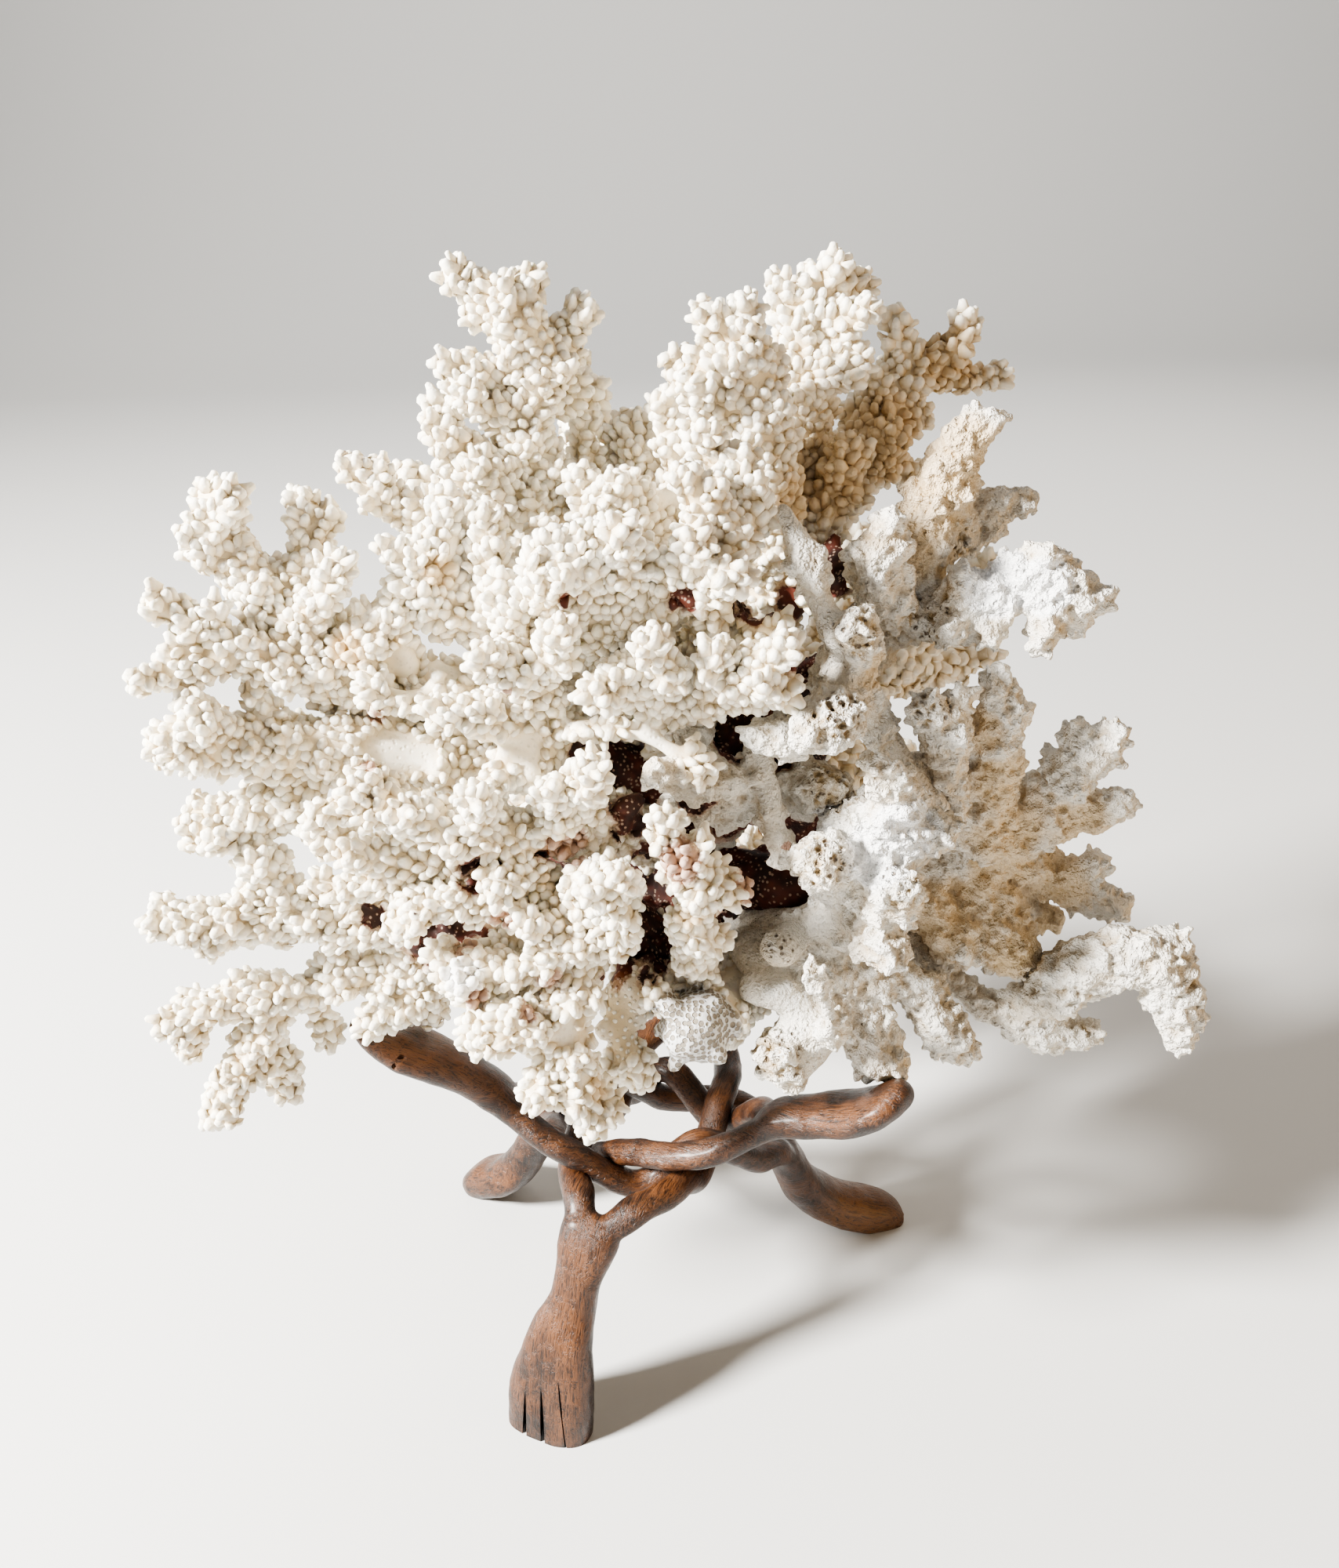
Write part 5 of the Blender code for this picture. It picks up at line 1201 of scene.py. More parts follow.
@dataclass
class Nubs:
    """Rounded fingers that stand on the skin: their common form, sunk a little at the root."""

    sides: int = 6
    heights: tuple[float, ...] = (-0.12, 0.46, 0.86)
    widths: tuple[float, ...] = (1.6, 1.0, 0.74)
    root_rise: float = 0.3

    def grow(
        self, roots: np.ndarray, axes: np.ndarray, radii: np.ndarray, lengths: np.ndarray,
        rng: np.random.Generator,
    ) -> Shell:
        """One nub at each root.

        Args:
            roots: Places on the skin.
            axes: Direction of each nub.
            radii: Radius of each.
            lengths: Length of each.
            rng: Source of the random turns.

        Returns:
            All the nubs, with the mark rise from root_rise at the root to 1 at the tip.
        """
        count, sides, bands = len(roots), self.sides, len(self.heights)
        side = np.cross(axes, np.array(ANY_SIDE))
        side /= np.linalg.norm(side, axis=1, keepdims=True)
        up = np.cross(axes, side)
        squeeze = rng.uniform(0.84, 1.16, count)
        lean = rng.normal(0, 0.13, (count, 2))
        rings = []
        for height, width in zip(self.heights, self.widths):
            turn = rng.uniform(0, 0.4, (count, 1)) + np.arange(sides) * 2 * math.pi / sides
            shift = lean * lengths[:, None] * max(height, 0)
            flat_x = np.cos(turn) * (radii * width * squeeze)[:, None] + shift[:, :1]
            flat_y = np.sin(turn) * (radii * width / squeeze)[:, None] + shift[:, 1:]
            centre = roots + axes * (lengths * height)[:, None]
            rings.append(
                centre[:, None] + flat_x[..., None] * side[:, None] + flat_y[..., None] * up[:, None]
            )
        tip = roots + axes * lengths[:, None] + (side * lean[:, :1] + up * lean[:, 1:]) * lengths[:, None]
        points = np.concatenate(rings + [tip[:, None]], axis=1)
        k = np.arange(sides)
        after, base = (k + 1) % sides, (np.arange(bands - 1) * sides)[:, None]
        quads = np.stack([base + k, base + after, base + sides + after, base + sides + k], -1)
        top = (bands - 1) * sides
        tris = np.stack([top + k, top + after, np.full(sides, bands * sides)], -1)
        # Low rise at a nub's root paints it in the hollows' shade colour.
        rise = np.concatenate([np.repeat(np.clip(self.heights, 0, 1), sides), [1.0]])
        blocks = [quads.reshape(-1, 4), tris, k[::-1][None]]
        return copies(points, blocks, {"rise": self.root_rise + (1 - self.root_rise) * rise})


def scatter(
    shell: Shell, spacing: float, rng: np.random.Generator, tries: float = 5.0,
) -> tuple[np.ndarray, np.ndarray]:
    """Places spread evenly over a shell, no two nearer than the spacing.

    Args:
        shell: Skin to spread them on.
        spacing: Least distance in mm.
        rng: Source of the random places.
        tries: Places tried for each that could fit.

    Returns:
        The places and the skin's normals there.
    """
    tris = shell.triangles()
    a, b, c = (shell.points[tris[:, k]] for k in range(3))
    areas = np.linalg.norm(np.cross(b - a, c - a), axis=1) / 2
    count = int(areas.sum() / spacing**2 * tries)
    picked = rng.choice(len(tris), count, p=areas / areas.sum())
    u, v = rng.uniform(size=(2, count))
    flip = u + v > 1
    u[flip], v[flip] = 1 - u[flip], 1 - v[flip]
    places = a[picked] + (b - a)[picked] * u[:, None] + (c - a)[picked] * v[:, None]
    corner = shell.normals()[tris[picked]]
    shares = np.column_stack([1 - u - v, u, v])
    ways = sum(corner[:, i] * shares[:, i : i + 1] for i in range(3))
    cells: dict[tuple[int, int, int], list[tuple[float, float, float]]] = {}
    kept = []
    near = [(i, j, k) for i in (-1, 0, 1) for j in (-1, 0, 1) for k in (-1, 0, 1)]
    for index, (x, y, z) in enumerate(places.tolist()):
        i, j, k = int(x // spacing), int(y // spacing), int(z // spacing)
        taken = any(
            (px - x) ** 2 + (py - y) ** 2 + (pz - z) ** 2 < spacing**2
            for di, dj, dk in near
            for px, py, pz in cells.get((i + di, j + dj, k + dk), ())
        )
        if not taken:
            cells.setdefault((i, j, k), []).append((x, y, z))
            kept.append(index)
    ways /= np.maximum(np.linalg.norm(ways, axis=1, keepdims=True), 1e-9)
    return places[kept], ways[kept]


def clear_of(points: np.ndarray, trees: list[BVHTree], gap: float) -> tuple[np.ndarray, np.ndarray]:
    """Moves what is in a leg, or too near to it, out to its skin.

    Args:
        points: Places in mm.
        trees: Search trees of the legs.
        gap: Distance to keep.

    Returns:
        The new places, and whether each was moved.
    """
    moved, touched = points.copy(), np.zeros(len(points), bool)
    for index in np.where(points[:, 2] < 150)[0] if trees else ():
        for tree in trees:
            place = Vector(moved[index])
            near, normal, _, away = tree.find_nearest(place, 9.0)
            if near is not None and ((place - near).dot(normal) < 0 or away < gap):
                moved[index] = near + normal * gap
                touched[index] = True
    return moved, touched


@dataclass
class Leg:
    """One leg of the stand: foot, two strands round a long slot, and head, of one piece of wood."""

    node: str
    finish: bpy.types.Material
    loop_centre: tuple[float, float, float] = (8.0, -2.0, 68.0)
    half_length: float = 43.0
    half_width: float = 19.0
    end_half_width: float = 5.0
    strand: tuple[float, float] = (10.0, 8.4)
    weave: float = 6.5
    outer_share: float = 0.6
    voxel: float = 0.75
    smooth_rounds: int = 12
    thin: float = 0.32
    sides: int = 28
    strand_sides: int = 16
    fork_offset: float = 3.6
    fork_section: tuple[float, float] = (8.5, 8.5)
    end_taper: tuple[float, ...] = (0.4, 0.72, 0.92)
    facet_depths: tuple[float, float] = (0.55, 0.28)
    rub_gap: float = 0.35
    eye_near: tuple[float, float, float] = (-57.5, -58.0, 127.0)
    eye_radii: tuple[float, float] = (2.6, 0.75)
    smooth_degrees: float = 42.0
    piece: bpy.types.Object | None = None

    def loop_side(self, angle: float, side: int) -> Rows:
        """Plan of one strand.

        Args:
            angle: Direction of the loop in degrees.
            side: 1 or -1, for the strand's side of the loop.

        Returns:
            Rows of (distance along the loop, x, y).
        """
        along, beside = self.way(angle), self.way(angle + 90)
        t = np.linspace(-self.half_length, self.half_length, 240)
        bulge = 1 - (np.abs(t) / self.half_length) ** 4
        offset = self.end_half_width + (self.half_width - self.end_half_width) * bulge
        points = np.outer(t, along[:2]) + np.outer(side * offset, beside[:2])
        return np.column_stack([t, np.array(self.loop_centre)[:2] + points])

    @staticmethod
    def way(degrees: float) -> np.ndarray:
        """Direction in plan at an angle in degrees."""
        turn = math.radians(degrees)
        return np.array([math.cos(turn), math.sin(turn), 0.0])

    def strand_rows(self, side: int) -> Rows:
        """Leads one strand through the other legs' slots.

        Args:
            side: 1 or -1, for the strand's side of the loop.

        Returns:
            Centre line of the strand, with its width and thickness.
        """
        place = LEG_ORDER.index(self.node)
        angle, after, before = (LEGS[LEG_ORDER[(place + i) % 3]][0] for i in (0, 1, 2))
        drop, rise = LEGS[self.node][1]
        plan = self.loop_side(angle, side)

        def crossing(leg: float, way: int) -> float:
            """Finds where another leg's strand comes closest.

            Args:
                leg: Direction of the other leg's loop.
                way: Side of its strand.

            Returns:
                Distance along this strand.
            """
            other = self.loop_side(leg, way)
            apart = np.linalg.norm(plan[:, None, 1:] - other[None, :, 1:], axis=2)
            return plan[np.unravel_index(apart.argmin(), apart.shape)[0], 0]

        outer, inner = (before, after) if side < 0 else (after, before)
        over = self.weave * side
        knots = [
            (-self.half_length, drop), (crossing(outer, side), self.outer_share * drop),
            (crossing(inner, -side), over), (crossing(outer, -side), -over),
            (crossing(inner, side), self.outer_share * rise), (self.half_length, rise),
        ]
        rows = []
        for t, height in smooth_path(knots, 3.0):
            x, y = (float(np.interp(t, plan[:, 0], plan[:, axis])) for axis in (1, 2))
            rows.append((x, y, self.loop_centre[2] + height, *self.strand))
        return np.array(rows)

    def rooted(self, rows: Rows, foot: Rows, head: Rows, beside: np.ndarray) -> Rows:
        """A strand led on into the foot and the head, so that it parts from them in a fork.

        Args:
            rows: Centre line of the strand.
            foot: Centre line of the foot.
            head: Centre line of the head.
            beside: Direction from the leg's middle to this strand.

        Returns:
            The longer centre line.
        """
        ends = []
        for place in (foot[-9], foot[-5], head[4], head[8]):
            ends.append(np.concatenate([place[:3] + beside * self.fork_offset, self.fork_section]))
        return smooth_path(np.vstack([ends[:2], rows[1:-1:3], ends[2:]]), 3.0)

    def build(self, neighbours: list[BVHTree]) -> None:
        """Sweeps the parts, fuses them, carves the details and cuts the foot flat.

        Args:
            neighbours: The legs that are finished, which this one is kept clear of.
        """
        angle, _, foot, head = LEGS[self.node]
        beside = self.way(angle + 90)
        foot_rows, head_rows = smooth_path(foot, 2.0), smooth_path(head, 2.0)
        strands = [
            self.rooted(self.strand_rows(side), foot_rows, head_rows, beside * side) for side in (1, -1)
        ]
        for rows, ends in ((foot_rows, (-1, -2, -3)), (head_rows, (0, 1, 2)), (head_rows, (-1, -2, -3))):
            for end, share in zip(ends, self.end_taper):
                rows[end, 3:] *= share
        parts = [sweep(rows, self.strand_sides, beside) for rows in strands]
        parts += [sweep(foot_rows, self.sides, beside, 2.6), sweep(head_rows, self.sides, beside, 2.3)]
        self.piece = join(parts).to_object(self.node + "_carved")
        Bench.modify(self.piece, "REMESH", {"mode": "VOXEL", "voxel_size": self.voxel * MM})
        Bench.modify(self.piece, "SMOOTH", {"factor": 0.5, "iterations": self.smooth_rounds})
        self.press(neighbours)
        Bench.modify(self.piece, "DECIMATE", {"ratio": self.thin})
        self.carve()
        self.cut_flat()
        self.mark(strands, foot_rows, head_rows, beside)

    def press(self, neighbours: list[BVHTree]) -> None:
        """Hollows the leg where it bears on others, and gives it the marks of the knife.

        Args:
            neighbours: The legs that are finished.
        """
        shell = Shell.of_object(self.piece)
        seed = 40.0 + LEG_ORDER.index(self.node)
        deep, shallow = self.facet_depths
        facets = wander(shell.points, 11.0, seed) * deep + wander(shell.points, 5.0, seed) * shallow
        shell.points += shell.normals() * facets[:, None]
        shell.points, _ = clear_of(shell.points, neighbours, self.rub_gap)
        placed = (shell.points + PLAN_SHIFT) * MM
        self.piece.data.vertices.foreach_set("co", placed.astype(np.float32).ravel())
        self.piece.data.update()

    def carve(self) -> None:
        """Cuts what this leg alone has."""
        if self.node == "stand_leg_front":
            for row in SPLITS:
                self.split(*row)
        if self.node == "stand_leg_right":
            self.eye()

    def split(self, x: float, y: float, height: float, lean: float) -> None:
        """Cuts one drying split up from the sole of the front foot.

        Args:
            x: Place across the foot.
            y: Place of its middle along the foot.
            height: Height of its upper end.
            lean: Degrees that it leans.
        """
        bpy.ops.mesh.primitive_cone_add(
            vertices=8, radius1=1.25 * MM, radius2=0.1 * MM, depth=(height + 8) * MM,
            location=Vector((x, y, (height - 8) / 2)) * MM + Vector(PLAN_SHIFT) * MM,
            rotation=(0, math.radians(lean), 0),
        )
        wedge = bpy.context.active_object
        wedge.scale = (0.7, 4.2, 1.0)
        Bench.cut(self.piece, wedge)

    def eye(self) -> None:
        """Carves the small round eye in the left head, on the skin where the head faces the camera."""
        centre = search_tree(self.piece).find_nearest(Vector(self.eye_near))[0]
        lean = Vector((0.0, -0.75, 0.66)).to_track_quat("Z", "Y").to_euler()
        major, minor = self.eye_radii
        bpy.ops.mesh.primitive_torus_add(
            major_segments=28, minor_segments=10, major_radius=major * MM, minor_radius=minor * MM,
            location=(centre + Vector(PLAN_SHIFT)) * MM, rotation=lean,
        )
        Bench.cut(self.piece, bpy.context.active_object)

    def cut_flat(self) -> None:
        """Cuts the foot off level with the floor."""
        Bench.only(self.piece)
        bpy.ops.object.mode_set(mode="EDIT")
        bpy.ops.mesh.select_all(action="SELECT")
        bpy.ops.mesh.bisect(
            plane_co=(0, 0, 0), plane_no=(0, 0, 1), clear_inner=True, use_fill=True, threshold=1e-6,
        )
        bpy.ops.object.mode_set(mode="OBJECT")

    def mark(self, strands: list[Rows], foot: Rows, head: Rows, beside: np.ndarray) -> None:
        """Writes the attributes that the wood's grain, its wear and painted highlight, and its painted
        shade follow.

        Args:
            strands: Centre lines of the two strands.
            foot: Centre line of the foot.
            head: Centre line of the head.
            beside: Direction across the leg.
        """
        shell = Shell.of_object(self.piece)
        runs, middles, start = [], [], 0.0
        for group in ([foot], strands, [head]):
            for rows in group:
                steps = np.linalg.norm(np.diff(rows[:, :3], axis=0), axis=1)
                runs.append(start + np.concatenate([[0], np.cumsum(steps)]))
                middles.append(rows[:, :3])
            start = runs[-1][-1]
        run, middle = np.concatenate(runs), np.concatenate(middles)
        gap = np.linalg.norm(shell.points[:, None] - middle[None], axis=2)
        index = gap.argmin(axis=1)
        off = shell.points - middle[index]
        away = gap[np.arange(len(index)), index]
        normals = shell.normals()
        zero = np.zeros(len(index))
        marks = {
            # worn: partly wear, partly a painted highlight on faces turned up and towards the camera.
            "worn": np.clip(normals[:, 2] * 0.6 - normals[:, 1] * 0.3, 0, 1) * np.clip(away / 6.0, 0, 1.4),
            "amber": zero, "shaded": zero,
            "grain": np.column_stack(
                [shell.points @ beside, off[:, 2], run[index] * 0.055 + (off @ self.way(0)) * 0.01]
            ),
        }
        if self.node == "stand_leg_right":
            marks["amber"] = reach(shell.points, (82, 20, 10), 24)
        if self.node == "stand_leg_front":
            # Painted shade on the front foot's faces that turn right and down.
            facing = np.clip((normals @ np.array([0.9, 0.3, -0.2])) * 1.5 - 0.3, 0, 1)
            marks["shaded"] = facing * reach(shell.points, (-14, -60, 10), 26)
        for name, values in marks.items():
            write_attribute(self.piece.data, name, values)

    def dress(self) -> None:
        """Gives the leg its wood, and puts it in the frame in place of its node."""
        self.piece.data.materials.clear()
        self.piece.data.materials.append(self.finish)
        Bench.only(self.piece)
        bpy.ops.object.shade_smooth_by_angle(angle=math.radians(self.smooth_degrees))
        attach(self.piece, "root")
        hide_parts(self.node)


@dataclass
class Limb:
    """One limb of the colony: its branches' skin, and what stands on it.

    Sizes are in mm. A lump is a swelling of the skin, a crumb one on a worn limb, and a nub a finger
    that stands on the skin.
    """

    name: str
    surface: Surface
    finish: bpy.types.Material
    slot: str
    legs: list[BVHTree]
    seed: int
    least_radius: float = 1.7
    voxel: float = 1.4
    fine_voxel: float = 0.82
    thin: float = 0.3
    worn_thin: float = 0.72
    spacing: float = 2.3
    back_coarse: float = 1.35  # how much coarser the nubs are on the hidden side
    worn_coarse: float = 1.05
    worn_shorter: float = 0.85
    nub_radius: float = 1.33
    nub_length: float = 2.6
    tipward: float = 0.6
    lump_radius: float = 3.3
    lump_step: float = 4.8
    lump_stand_out: float = 1.3
    crumb_radius: float = 2.4
    crumb_step: float = 3.6
    crumb_stand_out: float = 1.0
    tip_lump: float = 3.8
    lump_range: tuple[float, float] = (0.75, 1.15)
    branch_round: float = 4.6  # branch radius for one more lump round it
    bead_radius: float = 0.8
    bead_spacing: float = 1.9
    leg_gap: float = 0.9
    stain_reach: float = 25.0  # distance from the trunk's middle that is stained
    back_stain_reach: float = 34.0
    stain_top: float = 226.0
    clean_foot: float = 150.0  # height under which two low limbs have no stain
    ragged: float = 0.7
    pit_spacing: float = 2.6
    hole_depth: float = 3.0
    piece: bpy.types.Object | None = None

    @property
    def node(self) -> str:
        """The CAD node that this limb replaces."""
        return "coral_trunk" if self.name == "trunk" else "coral_limb_" + self.name

    def lumps(self) -> Shell:
        """Winds lumps round each branch in a spiral, with one more at its tip.

        Returns:
            The lumps, as copies of one ball.
        """
        rng = np.random.default_rng(LUMP_SEED + self.seed)
        lump_radius, step, stand_out = self.lump_radius, self.lump_step, self.lump_stand_out
        if self.surface is Surface.WORN:
            lump_radius, step, stand_out = self.crumb_radius, self.crumb_step, self.crumb_stand_out
        cad_swell = {Surface.NUBBY: 1.8, Surface.WORN: 0.6, Surface.STAINED: 0.0}[self.surface]
        places, sizes = [], []
        golden = math.pi * (3 - math.sqrt(5))
        for branch in LIMBS[self.name]:
            rows = smooth_path(np.array(branch) + [0, 0, 0, cad_swell], step)
            turn = rng.uniform(0, 2 * math.pi)
            for before, row in zip(rows, rows[1:]):
                along = row[:3] - before[:3]
                along /= np.linalg.norm(along)
                across = np.array(ANY_SIDE) - along * along.dot(ANY_SIDE)
                across /= np.linalg.norm(across)
                up = np.cross(along, across)
                for _ in range(max(1, round(row[3] / self.branch_round))):
                    turn += golden
                    out = across * math.cos(turn) + up * math.sin(turn) + along * 0.35
                    size = lump_radius * rng.uniform(*self.lump_range) * min(1.0, 0.45 + row[3] / 9)
                    stand = row[3] + stand_out - size * 0.35 - cad_swell
                    places.append(row[:3] + out * stand)
                    sizes.append(size * 0.95)
            places.append(rows[-1, :3] + along * rows[-1, 3] * 0.5)
            sizes.append(min(self.tip_lump, rows[-1, 3] * 0.85))
        keep = reach_of(Mark.BARE, np.array(places)) < 0.5
        places, sizes = np.array(places)[keep], np.array(sizes)[keep]
        ball = ball_shell()
        return copies(places[:, None] + ball.points[None] * sizes[:, None, None], ball.faces, {})

    def skin(self) -> Shell:
        """Sweeps every branch as a tapered tube, and draws one smooth skin over them and their lumps.

        Returns:
            The skin.
        """
        tubes = []
        for branch in LIMBS[self.name] + BRIDGES.get(self.name, ()):
            rows = smooth_path(branch, 3.0)
            rows[:, 3] = np.maximum(rows[:, 3], self.least_radius)
            ends = rows[[0, -1]].copy()
            ends[0, :3] += (rows[0, :3] - rows[1, :3]) * 0.6
            ends[1, :3] += (rows[-1, :3] - rows[-2, :3]) / 3.0 * rows[-1, 3] * 0.8
            ends[:, 3] *= 0.5
            tubes.append(sweep(np.vstack([ends[:1], rows, ends[1:]]), 12))
        shell = reworked(join(tubes + [self.lumps()]), {
            "REMESH": {"mode": "VOXEL", "voxel_size": self.voxel * MM},
            "SMOOTH": {"factor": 0.5, "iterations": 2},
        })
        swell = wander(shell.points, 9.0, self.seed) * 0.9 + wander(shell.points, 3.5, self.seed + 3) * 0.35
        shell.points += shell.normals() * swell[:, None]
        return shell

    def patches(self, points: np.ndarray) -> dict[str, np.ndarray]:
        """How strongly each mark shows on this limb, whose inside near the trunk is stained.

        Args:
            points: Places in mm.

        Returns:
            Strengths from 0 to 1, by the mark's name.
        """
        out = {mark.value: reach_of(mark, points) for mark in Mark}
        _, away = TRUNK.nearest(points)
        limit = self.back_stain_reach if self.name.startswith("back") else self.stain_reach
        low = np.clip((self.stain_top - points[:, 2]) / 14.0, 0, 1)
        inner = np.clip((limit - away) / 9.0, 0, 1) * low
        if self.name in ("bottom_right", "centre_low"):
            inner *= np.clip((points[:, 2] - self.clean_foot) / 12.0, 0, 1)
        if self.surface is Surface.STAINED:
            inner = np.ones(len(points))
        stain = Mark.STAIN.value
        out[stain] = np.maximum(out[stain], inner)
        return out

    @staticmethod
    def painted_warm_shade(shell: Shell) -> np.ndarray:
        """How strongly warm shade is painted on each point of the colony's right, where it faces away to
        the right.

        Args:
            shell: The limb's finished shape.

        Returns:
            The strength of the painted warm shade at each point, 0 to 1.
        """
        facing = np.clip(shell.normals() @ np.array([0.9, -0.2, -0.4]) * 1.3 - 0.1, 0, 1)
        return facing * np.clip((shell.points[:, 0] - 45) / 50.0, 0, 0.75)

    def stand_nubs(self, shell: Shell, rng: np.random.Generator) -> list[Shell]:
        """Nubs all over the skin, beads on beaded patches, and nothing on bare ones.

        Args:
            shell: Skin of the branches.
            rng: Source of the random places and sizes.

        Returns:
            The shells of what stands on the skin.
        """
        skeleton = Skeleton(LIMBS[self.name])
        coarse = self.back_coarse if self.name.startswith("back") else 1.0
        if self.surface is Surface.WORN:
            coarse = self.worn_coarse
        places, ways = scatter(shell, self.spacing * coarse, rng)
        marks = self.patches(places)
        smooth = [marks[mark.value] for mark in (Mark.BARE, Mark.HONEYCOMB, Mark.BEADS)]
        none = np.maximum.reduce(smooth + [marks[Mark.STAIN.value] * 1.1])
        index, _ = skeleton.nearest(places)
        thick = skeleton.rows[index, 3]
        low = np.clip(wander(places, 14.0, self.seed + 5) * 1.6 + 0.25 + (thick - 6.5) * 0.12, 0, 0.75)
        size = rng.uniform(0.8, 1.2, len(places)) * (1 - 0.1 * low) * coarse
        length = rng.uniform(0.65, 1.4, len(places)) * (1 - 0.55 * low) * (0.5 + coarse / 2)
        if self.surface is Surface.WORN:
            length *= self.worn_shorter
        keep = (none < 0.5) & (places[:, 2] > 1)
        _, touched = clear_of(places + ways * 2.5, self.legs, 0.8)
        keep &= ~touched
        axes = ways + skeleton.ways[index] * self.tipward + rng.normal(0, 0.16, places.shape)
        axes /= np.linalg.norm(axes, axis=1, keepdims=True)
        places, axes, size, length = (values[keep] for values in (places, axes, size, length))
        nubs = Nubs(6 if coarse == 1.0 else 5)
        out = [nubs.grow(places, axes, size * self.nub_radius, length * self.nub_length, rng)]
        if self.name == "left_front":
            out.append(sweep(smooth_path(SPLINTER, 1.5), 8))
        if self.name == "centre_low":
            out.append(self.beads(shell, rng))
        return out

    def beads(self, shell: Shell, rng: np.random.Generator) -> Shell:
        """Beads in rows on the beaded patches.

        Args:
            shell: Skin of the branches.
            rng: Source of the random places and sizes.

        Returns:
            The beads.
        """
        places, ways = scatter(shell, self.bead_spacing, rng, 3.0)
        on = reach_of(Mark.BEADS, places) > 0.5
        radii = rng.uniform(0.7, 1.0, on.sum()) * self.bead_radius
        bead = Nubs(6, (-0.5, 0.35, 0.8), (1.0, 0.95, 0.6))
        return bead.grow(places[on], ways[on], radii, radii * 0.75 / 0.8, rng)

    def stands_out(self, points: np.ndarray) -> np.ndarray:
        """Measures from the skin of the nearest branch.

        Args:
            points: Places in mm.

        Returns:
            How far each point stands out in mm.
        """
        skeleton = Skeleton(LIMBS[self.name])
        index, away = skeleton.nearest(points)
        return away - skeleton.rows[index, 3]

    def finish_skin(self, shell: Shell, thin: float) -> Shell:
        """Thins the skin's mesh and marks how far each point stands out.

        Args:
            shell: The branches' skin.
            thin: Share of the faces that are left.

        Returns:
            The skin with the mark rise.
        """
        thinned = reworked(shell, {"DECIMATE": {"ratio": thin}})
        over = self.stands_out(thinned.points)
        hole = reach_of(Mark.HOLE, thinned.points)
        thinned.points -= thinned.normals() * (self.hole_depth * hole)[:, None]
        # Skin that stands out little gets low rise, and so the painted shade of the hollows.
        rise = np.clip(0.2 + over / 4.0, 0, 0.55)
        thinned.marks["rise"] = np.maximum(rise, 0.7 * reach_of(Mark.BARE, thinned.points)) * (1 - hole)
        return thinned

    def fuse(self, shells: list[Shell]) -> Shell:
        """Fuses everything to one skin, and eats pits and ridges into it.

        Args:
            shells: The branches' skin and what stands on it.

        Returns:
            The limb's finished shape, with how far each point stands out as the mark rise.
        """
        fused = reworked(join(shells), {"REMESH": {"mode": "VOXEL", "voxel_size": self.fine_voxel * MM}})
        over = self.stands_out(fused.points)
        marks = self.patches(fused.points)
        hole, bare = marks[Mark.HOLE.value], marks[Mark.BARE.value]
        calm = 1 - 0.85 * bare
        ragged = sum(
            wander(fused.points, size, self.seed + i) * self.ragged for i, size in enumerate((2.8, 1.5), 1)
        )
        pits = np.array([noise.voronoi(Vector(p))[0][0] for p in fused.points / self.pit_spacing])
        pits = np.clip(1 - pits / 0.42, 0, 1) * (0.12 + 2.0 * marks[Mark.PORES.value])
        relief = ragged * calm - pits * calm - self.hole_depth * hole
        fused.points += fused.normals() * relief[:, None]
        # Dents and pits lower the rise, so they take the painted shade of the hollows.
        rise = np.clip(0.45 + over / 4.5 + ragged * 0.35 * calm - pits * calm, 0, 1)
        fused.marks["rise"] = np.maximum(rise, 0.7 * bare) * (1 - hole)
        return reworked(fused, {"DECIMATE": {"ratio": self.worn_thin}}, "rise")

    def build(self) -> None:
        """Grows the skin and what stands on it, and marks it for the finish."""
        rng = np.random.default_rng(self.seed)
        shell = self.skin()
        shell.points, _ = clear_of(shell.points, self.legs, self.leg_gap)
        nubs = self.stand_nubs(shell, rng)
        if self.surface is Surface.WORN:
            shell = self.fuse([shell, *nubs])
        else:
            shell = join([self.finish_skin(shell, self.thin), *nubs])
        shell.marks.update(self.patches(shell.points))
        # The tan mark also takes the painted warm shade of the sides that face away to the right.
        shell.marks[Mark.TAN.value] = np.maximum(shell.marks[Mark.TAN.value], self.painted_warm_shade(shell))
        self.piece = shell.to_object(self.node + "_grown")

    def dress(self) -> None:
        """Gives the limb its finish, and puts it in the frame in place of its node."""
        self.piece.data.materials.append(self.finish)
        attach(self.piece, "root")
        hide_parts(self.node)


def report(piece: bpy.types.Object) -> None:
    """Logs how many triangles a piece has."""
    LOG.info("%s: %d triangles", piece.name, sum(len(face.vertices) - 2 for face in piece.data.polygons))


@dataclass
class Stand:
    """The three interlinked legs."""

    legs: list[Leg] = field(default_factory=list)

    def build(self) -> None:
        """Builds and dresses every leg."""
        wood = WoodFinish().material()
        for node in LEG_ORDER:
            leg = Leg(node, wood)
            leg.build(self.trees())
            leg.dress()
            self.legs.append(leg)
            report(leg.piece)

    def trees(self) -> list[BVHTree]:
        """Search trees of the legs that are built."""
        return [search_tree(leg.piece) for leg in self.legs]


@dataclass
class Colony:
    """The coral, limb by limb."""

    legs: list[BVHTree]
    limbs: list[Limb] = field(default_factory=list)

    def build(self) -> None:
        """Grows and dresses every limb."""
        finishes = {finish.slot: finish.material() for finish in CORAL_FINISHES}
        for seed, name in enumerate(LIMBS):
            surface, slot = Surface.NUBBY, "cream_coral"
            if name == "trunk":
                surface, slot = Surface.STAINED, "stained_coral"
            elif name in WORN_LIMBS:
                surface, slot = Surface.WORN, "chalky_coral"
            limb = Limb(name, surface, finishes[slot], slot, self.legs, seed)
            limb.build()
            limb.dress()
            self.limbs.append(limb)
            report(limb.piece)


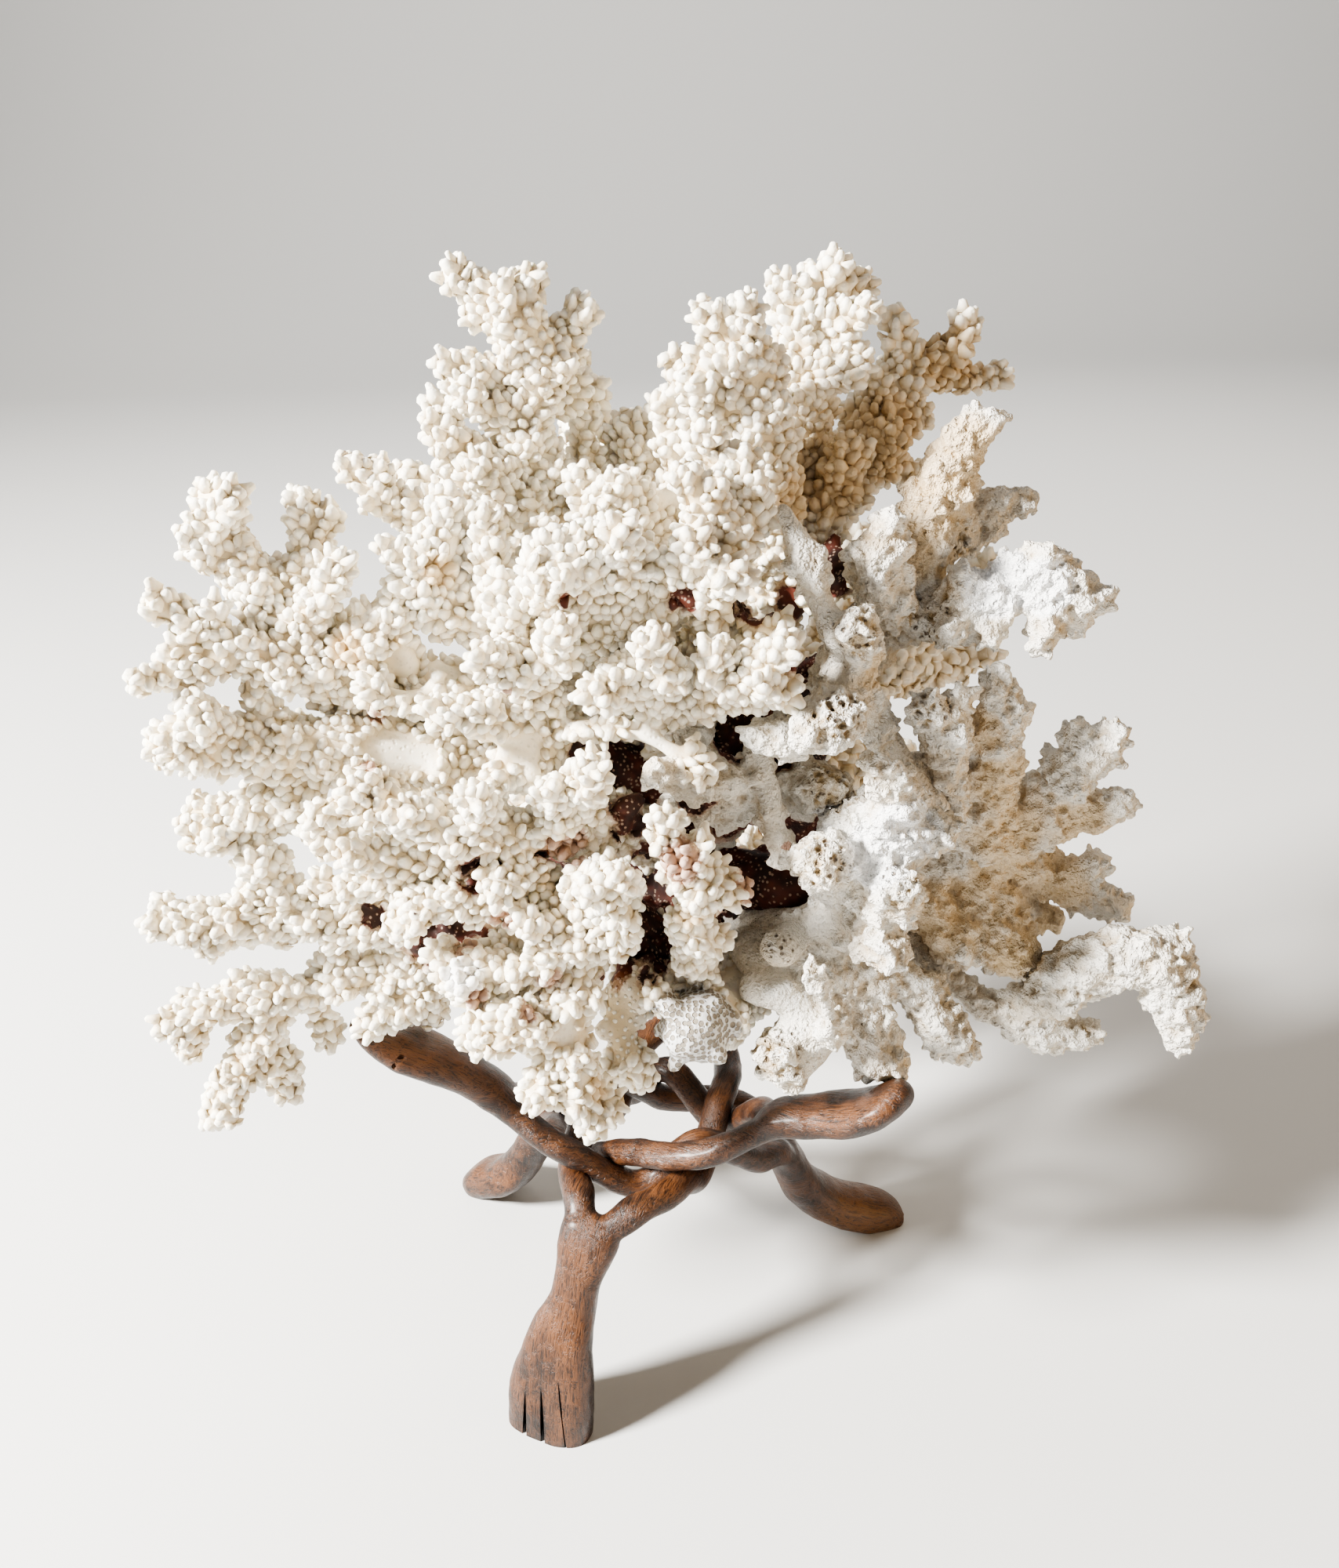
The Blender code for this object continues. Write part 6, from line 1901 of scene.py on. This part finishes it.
@dataclass
class Studio:
    """Pale floor, soft lights, and the camera at the photograph's angle."""

    camera_place: tuple[float, float, float] = (17.0, -349.0, 371.0)
    pitch: float = 27.0
    roll: float = 2.0
    focal_pixels: float = 1720.0
    image_width: float = 1708.0
    sensor: float = 36.0
    middle: tuple[float, float, float] = (0.0, 0.0, 0.17)
    wall: tuple[float, float, float] = (0.0, 2.8, 0.7)
    world_colour: Colour = (0.86, 0.87, 0.88, 1.0)
    world_strength: float = 0.045

    def floor(self) -> None:
        """Lays a floor that curves up into a backdrop."""
        bpy.ops.object.select_all(action="DESELECT")
        bpy.ops.mesh.primitive_plane_add(size=5.0, location=(0, 0.4, 0))
        sheet = bpy.context.active_object
        sheet.name = "studio_floor"
        Bench.settle(sheet)
        bpy.ops.object.mode_set(mode="EDIT")
        bpy.ops.mesh.select_mode(type="EDGE")
        bpy.ops.mesh.select_all(action="DESELECT")
        bpy.ops.object.mode_set(mode="OBJECT")
        for edge in sheet.data.edges:
            edge.select = all(sheet.data.vertices[i].co.y > 2.0 for i in edge.vertices)
        bpy.ops.object.mode_set(mode="EDIT")
        bpy.ops.mesh.extrude_region_move(TRANSFORM_OT_translate={"value": (0, 0, 2.5)})
        bpy.ops.object.mode_set(mode="OBJECT")
        for edge in sheet.data.edges:
            ends = [sheet.data.vertices[i].co for i in edge.vertices]
            edge.select = all(end.y > 2.0 and end.z < 0.1 for end in ends)
        bpy.ops.object.mode_set(mode="EDIT")
        bpy.ops.mesh.bevel(offset=1.2, segments=16)
        bpy.ops.mesh.select_all(action="SELECT")
        bpy.ops.mesh.normals_make_consistent(inside=False)
        bpy.ops.object.mode_set(mode="OBJECT")
        bpy.ops.object.shade_smooth()
        sheet.data.materials.append(FloorFinish().material())

    def lights(self) -> None:
        """Sets a key from the upper left, a warm fill, weak front and back lights and a wall wash."""
        for name, place, size, power, colour in (
            ("key", (-1.2, -0.45, 0.95), 0.3, 145.0, (1.0, 0.98, 0.945)),
            ("front", (0.1, -1.3, 0.9), 0.8, 1.5, (0.97, 0.98, 1.0)),
            ("fill", (1.3, -0.5, 0.5), 1.2, 9.5, (1.0, 0.72, 0.42)),
            ("back", (0.4, 1.2, 1.0), 1.0, 5.0, (1.0, 0.96, 0.92)),
            ("wash", (0.0, 0.9, 2.3), 1.8, 33.0, (1.0, 0.99, 0.98)),
        ):
            lamp = bpy.data.lights.new(name, "AREA")
            lamp.shape, lamp.size, lamp.energy, lamp.color = "DISK", size, power, colour
            holder = bpy.data.objects.new(name, lamp)
            holder.location = place
            target = Vector(self.wall if name == "wash" else self.middle)
            holder.rotation_euler = (target - Vector(place)).to_track_quat("-Z", "Y").to_euler()
            bpy.context.scene.collection.objects.link(holder)
        world = bpy.data.worlds.new("studio")
        world.use_nodes = True
        shade = world.node_tree.nodes["Background"].inputs
        shade["Color"].default_value = self.world_colour
        shade["Strength"].default_value = self.world_strength
        bpy.context.scene.world = world

    def camera(self) -> None:
        """Sets the camera in the place and at the angle that the stand's feet give."""
        eye = bpy.data.cameras.new("camera")
        eye.sensor_fit, eye.sensor_width = "HORIZONTAL", self.sensor
        eye.lens = self.sensor * self.focal_pixels / self.image_width
        holder = bpy.data.objects.new("camera", eye)
        tilt = Matrix.Rotation(math.radians(90 - self.pitch), 4, "X")
        turn = tilt @ Matrix.Rotation(math.radians(-self.roll), 4, "Z")
        place = (np.array(self.camera_place) + PLAN_SHIFT) * MM
        holder.matrix_world = Matrix.Translation(Vector(place)) @ turn
        bpy.context.scene.collection.objects.link(holder)
        bpy.context.scene.camera = holder

    def build(self) -> None:
        """Sets up the studio."""
        bpy.context.scene.view_settings.look = "AgX - Medium High Contrast"
        self.camera()
        self.lights()
        self.floor()


def main() -> None:
    """Builds the studio, the stand and the coral."""
    logging.basicConfig(level=logging.INFO, format="%(message)s")
    Studio().build()
    stand = Stand()
    stand.build()
    colony = Colony(stand.trees())
    colony.build()


if __name__ == "__main__":
    main()
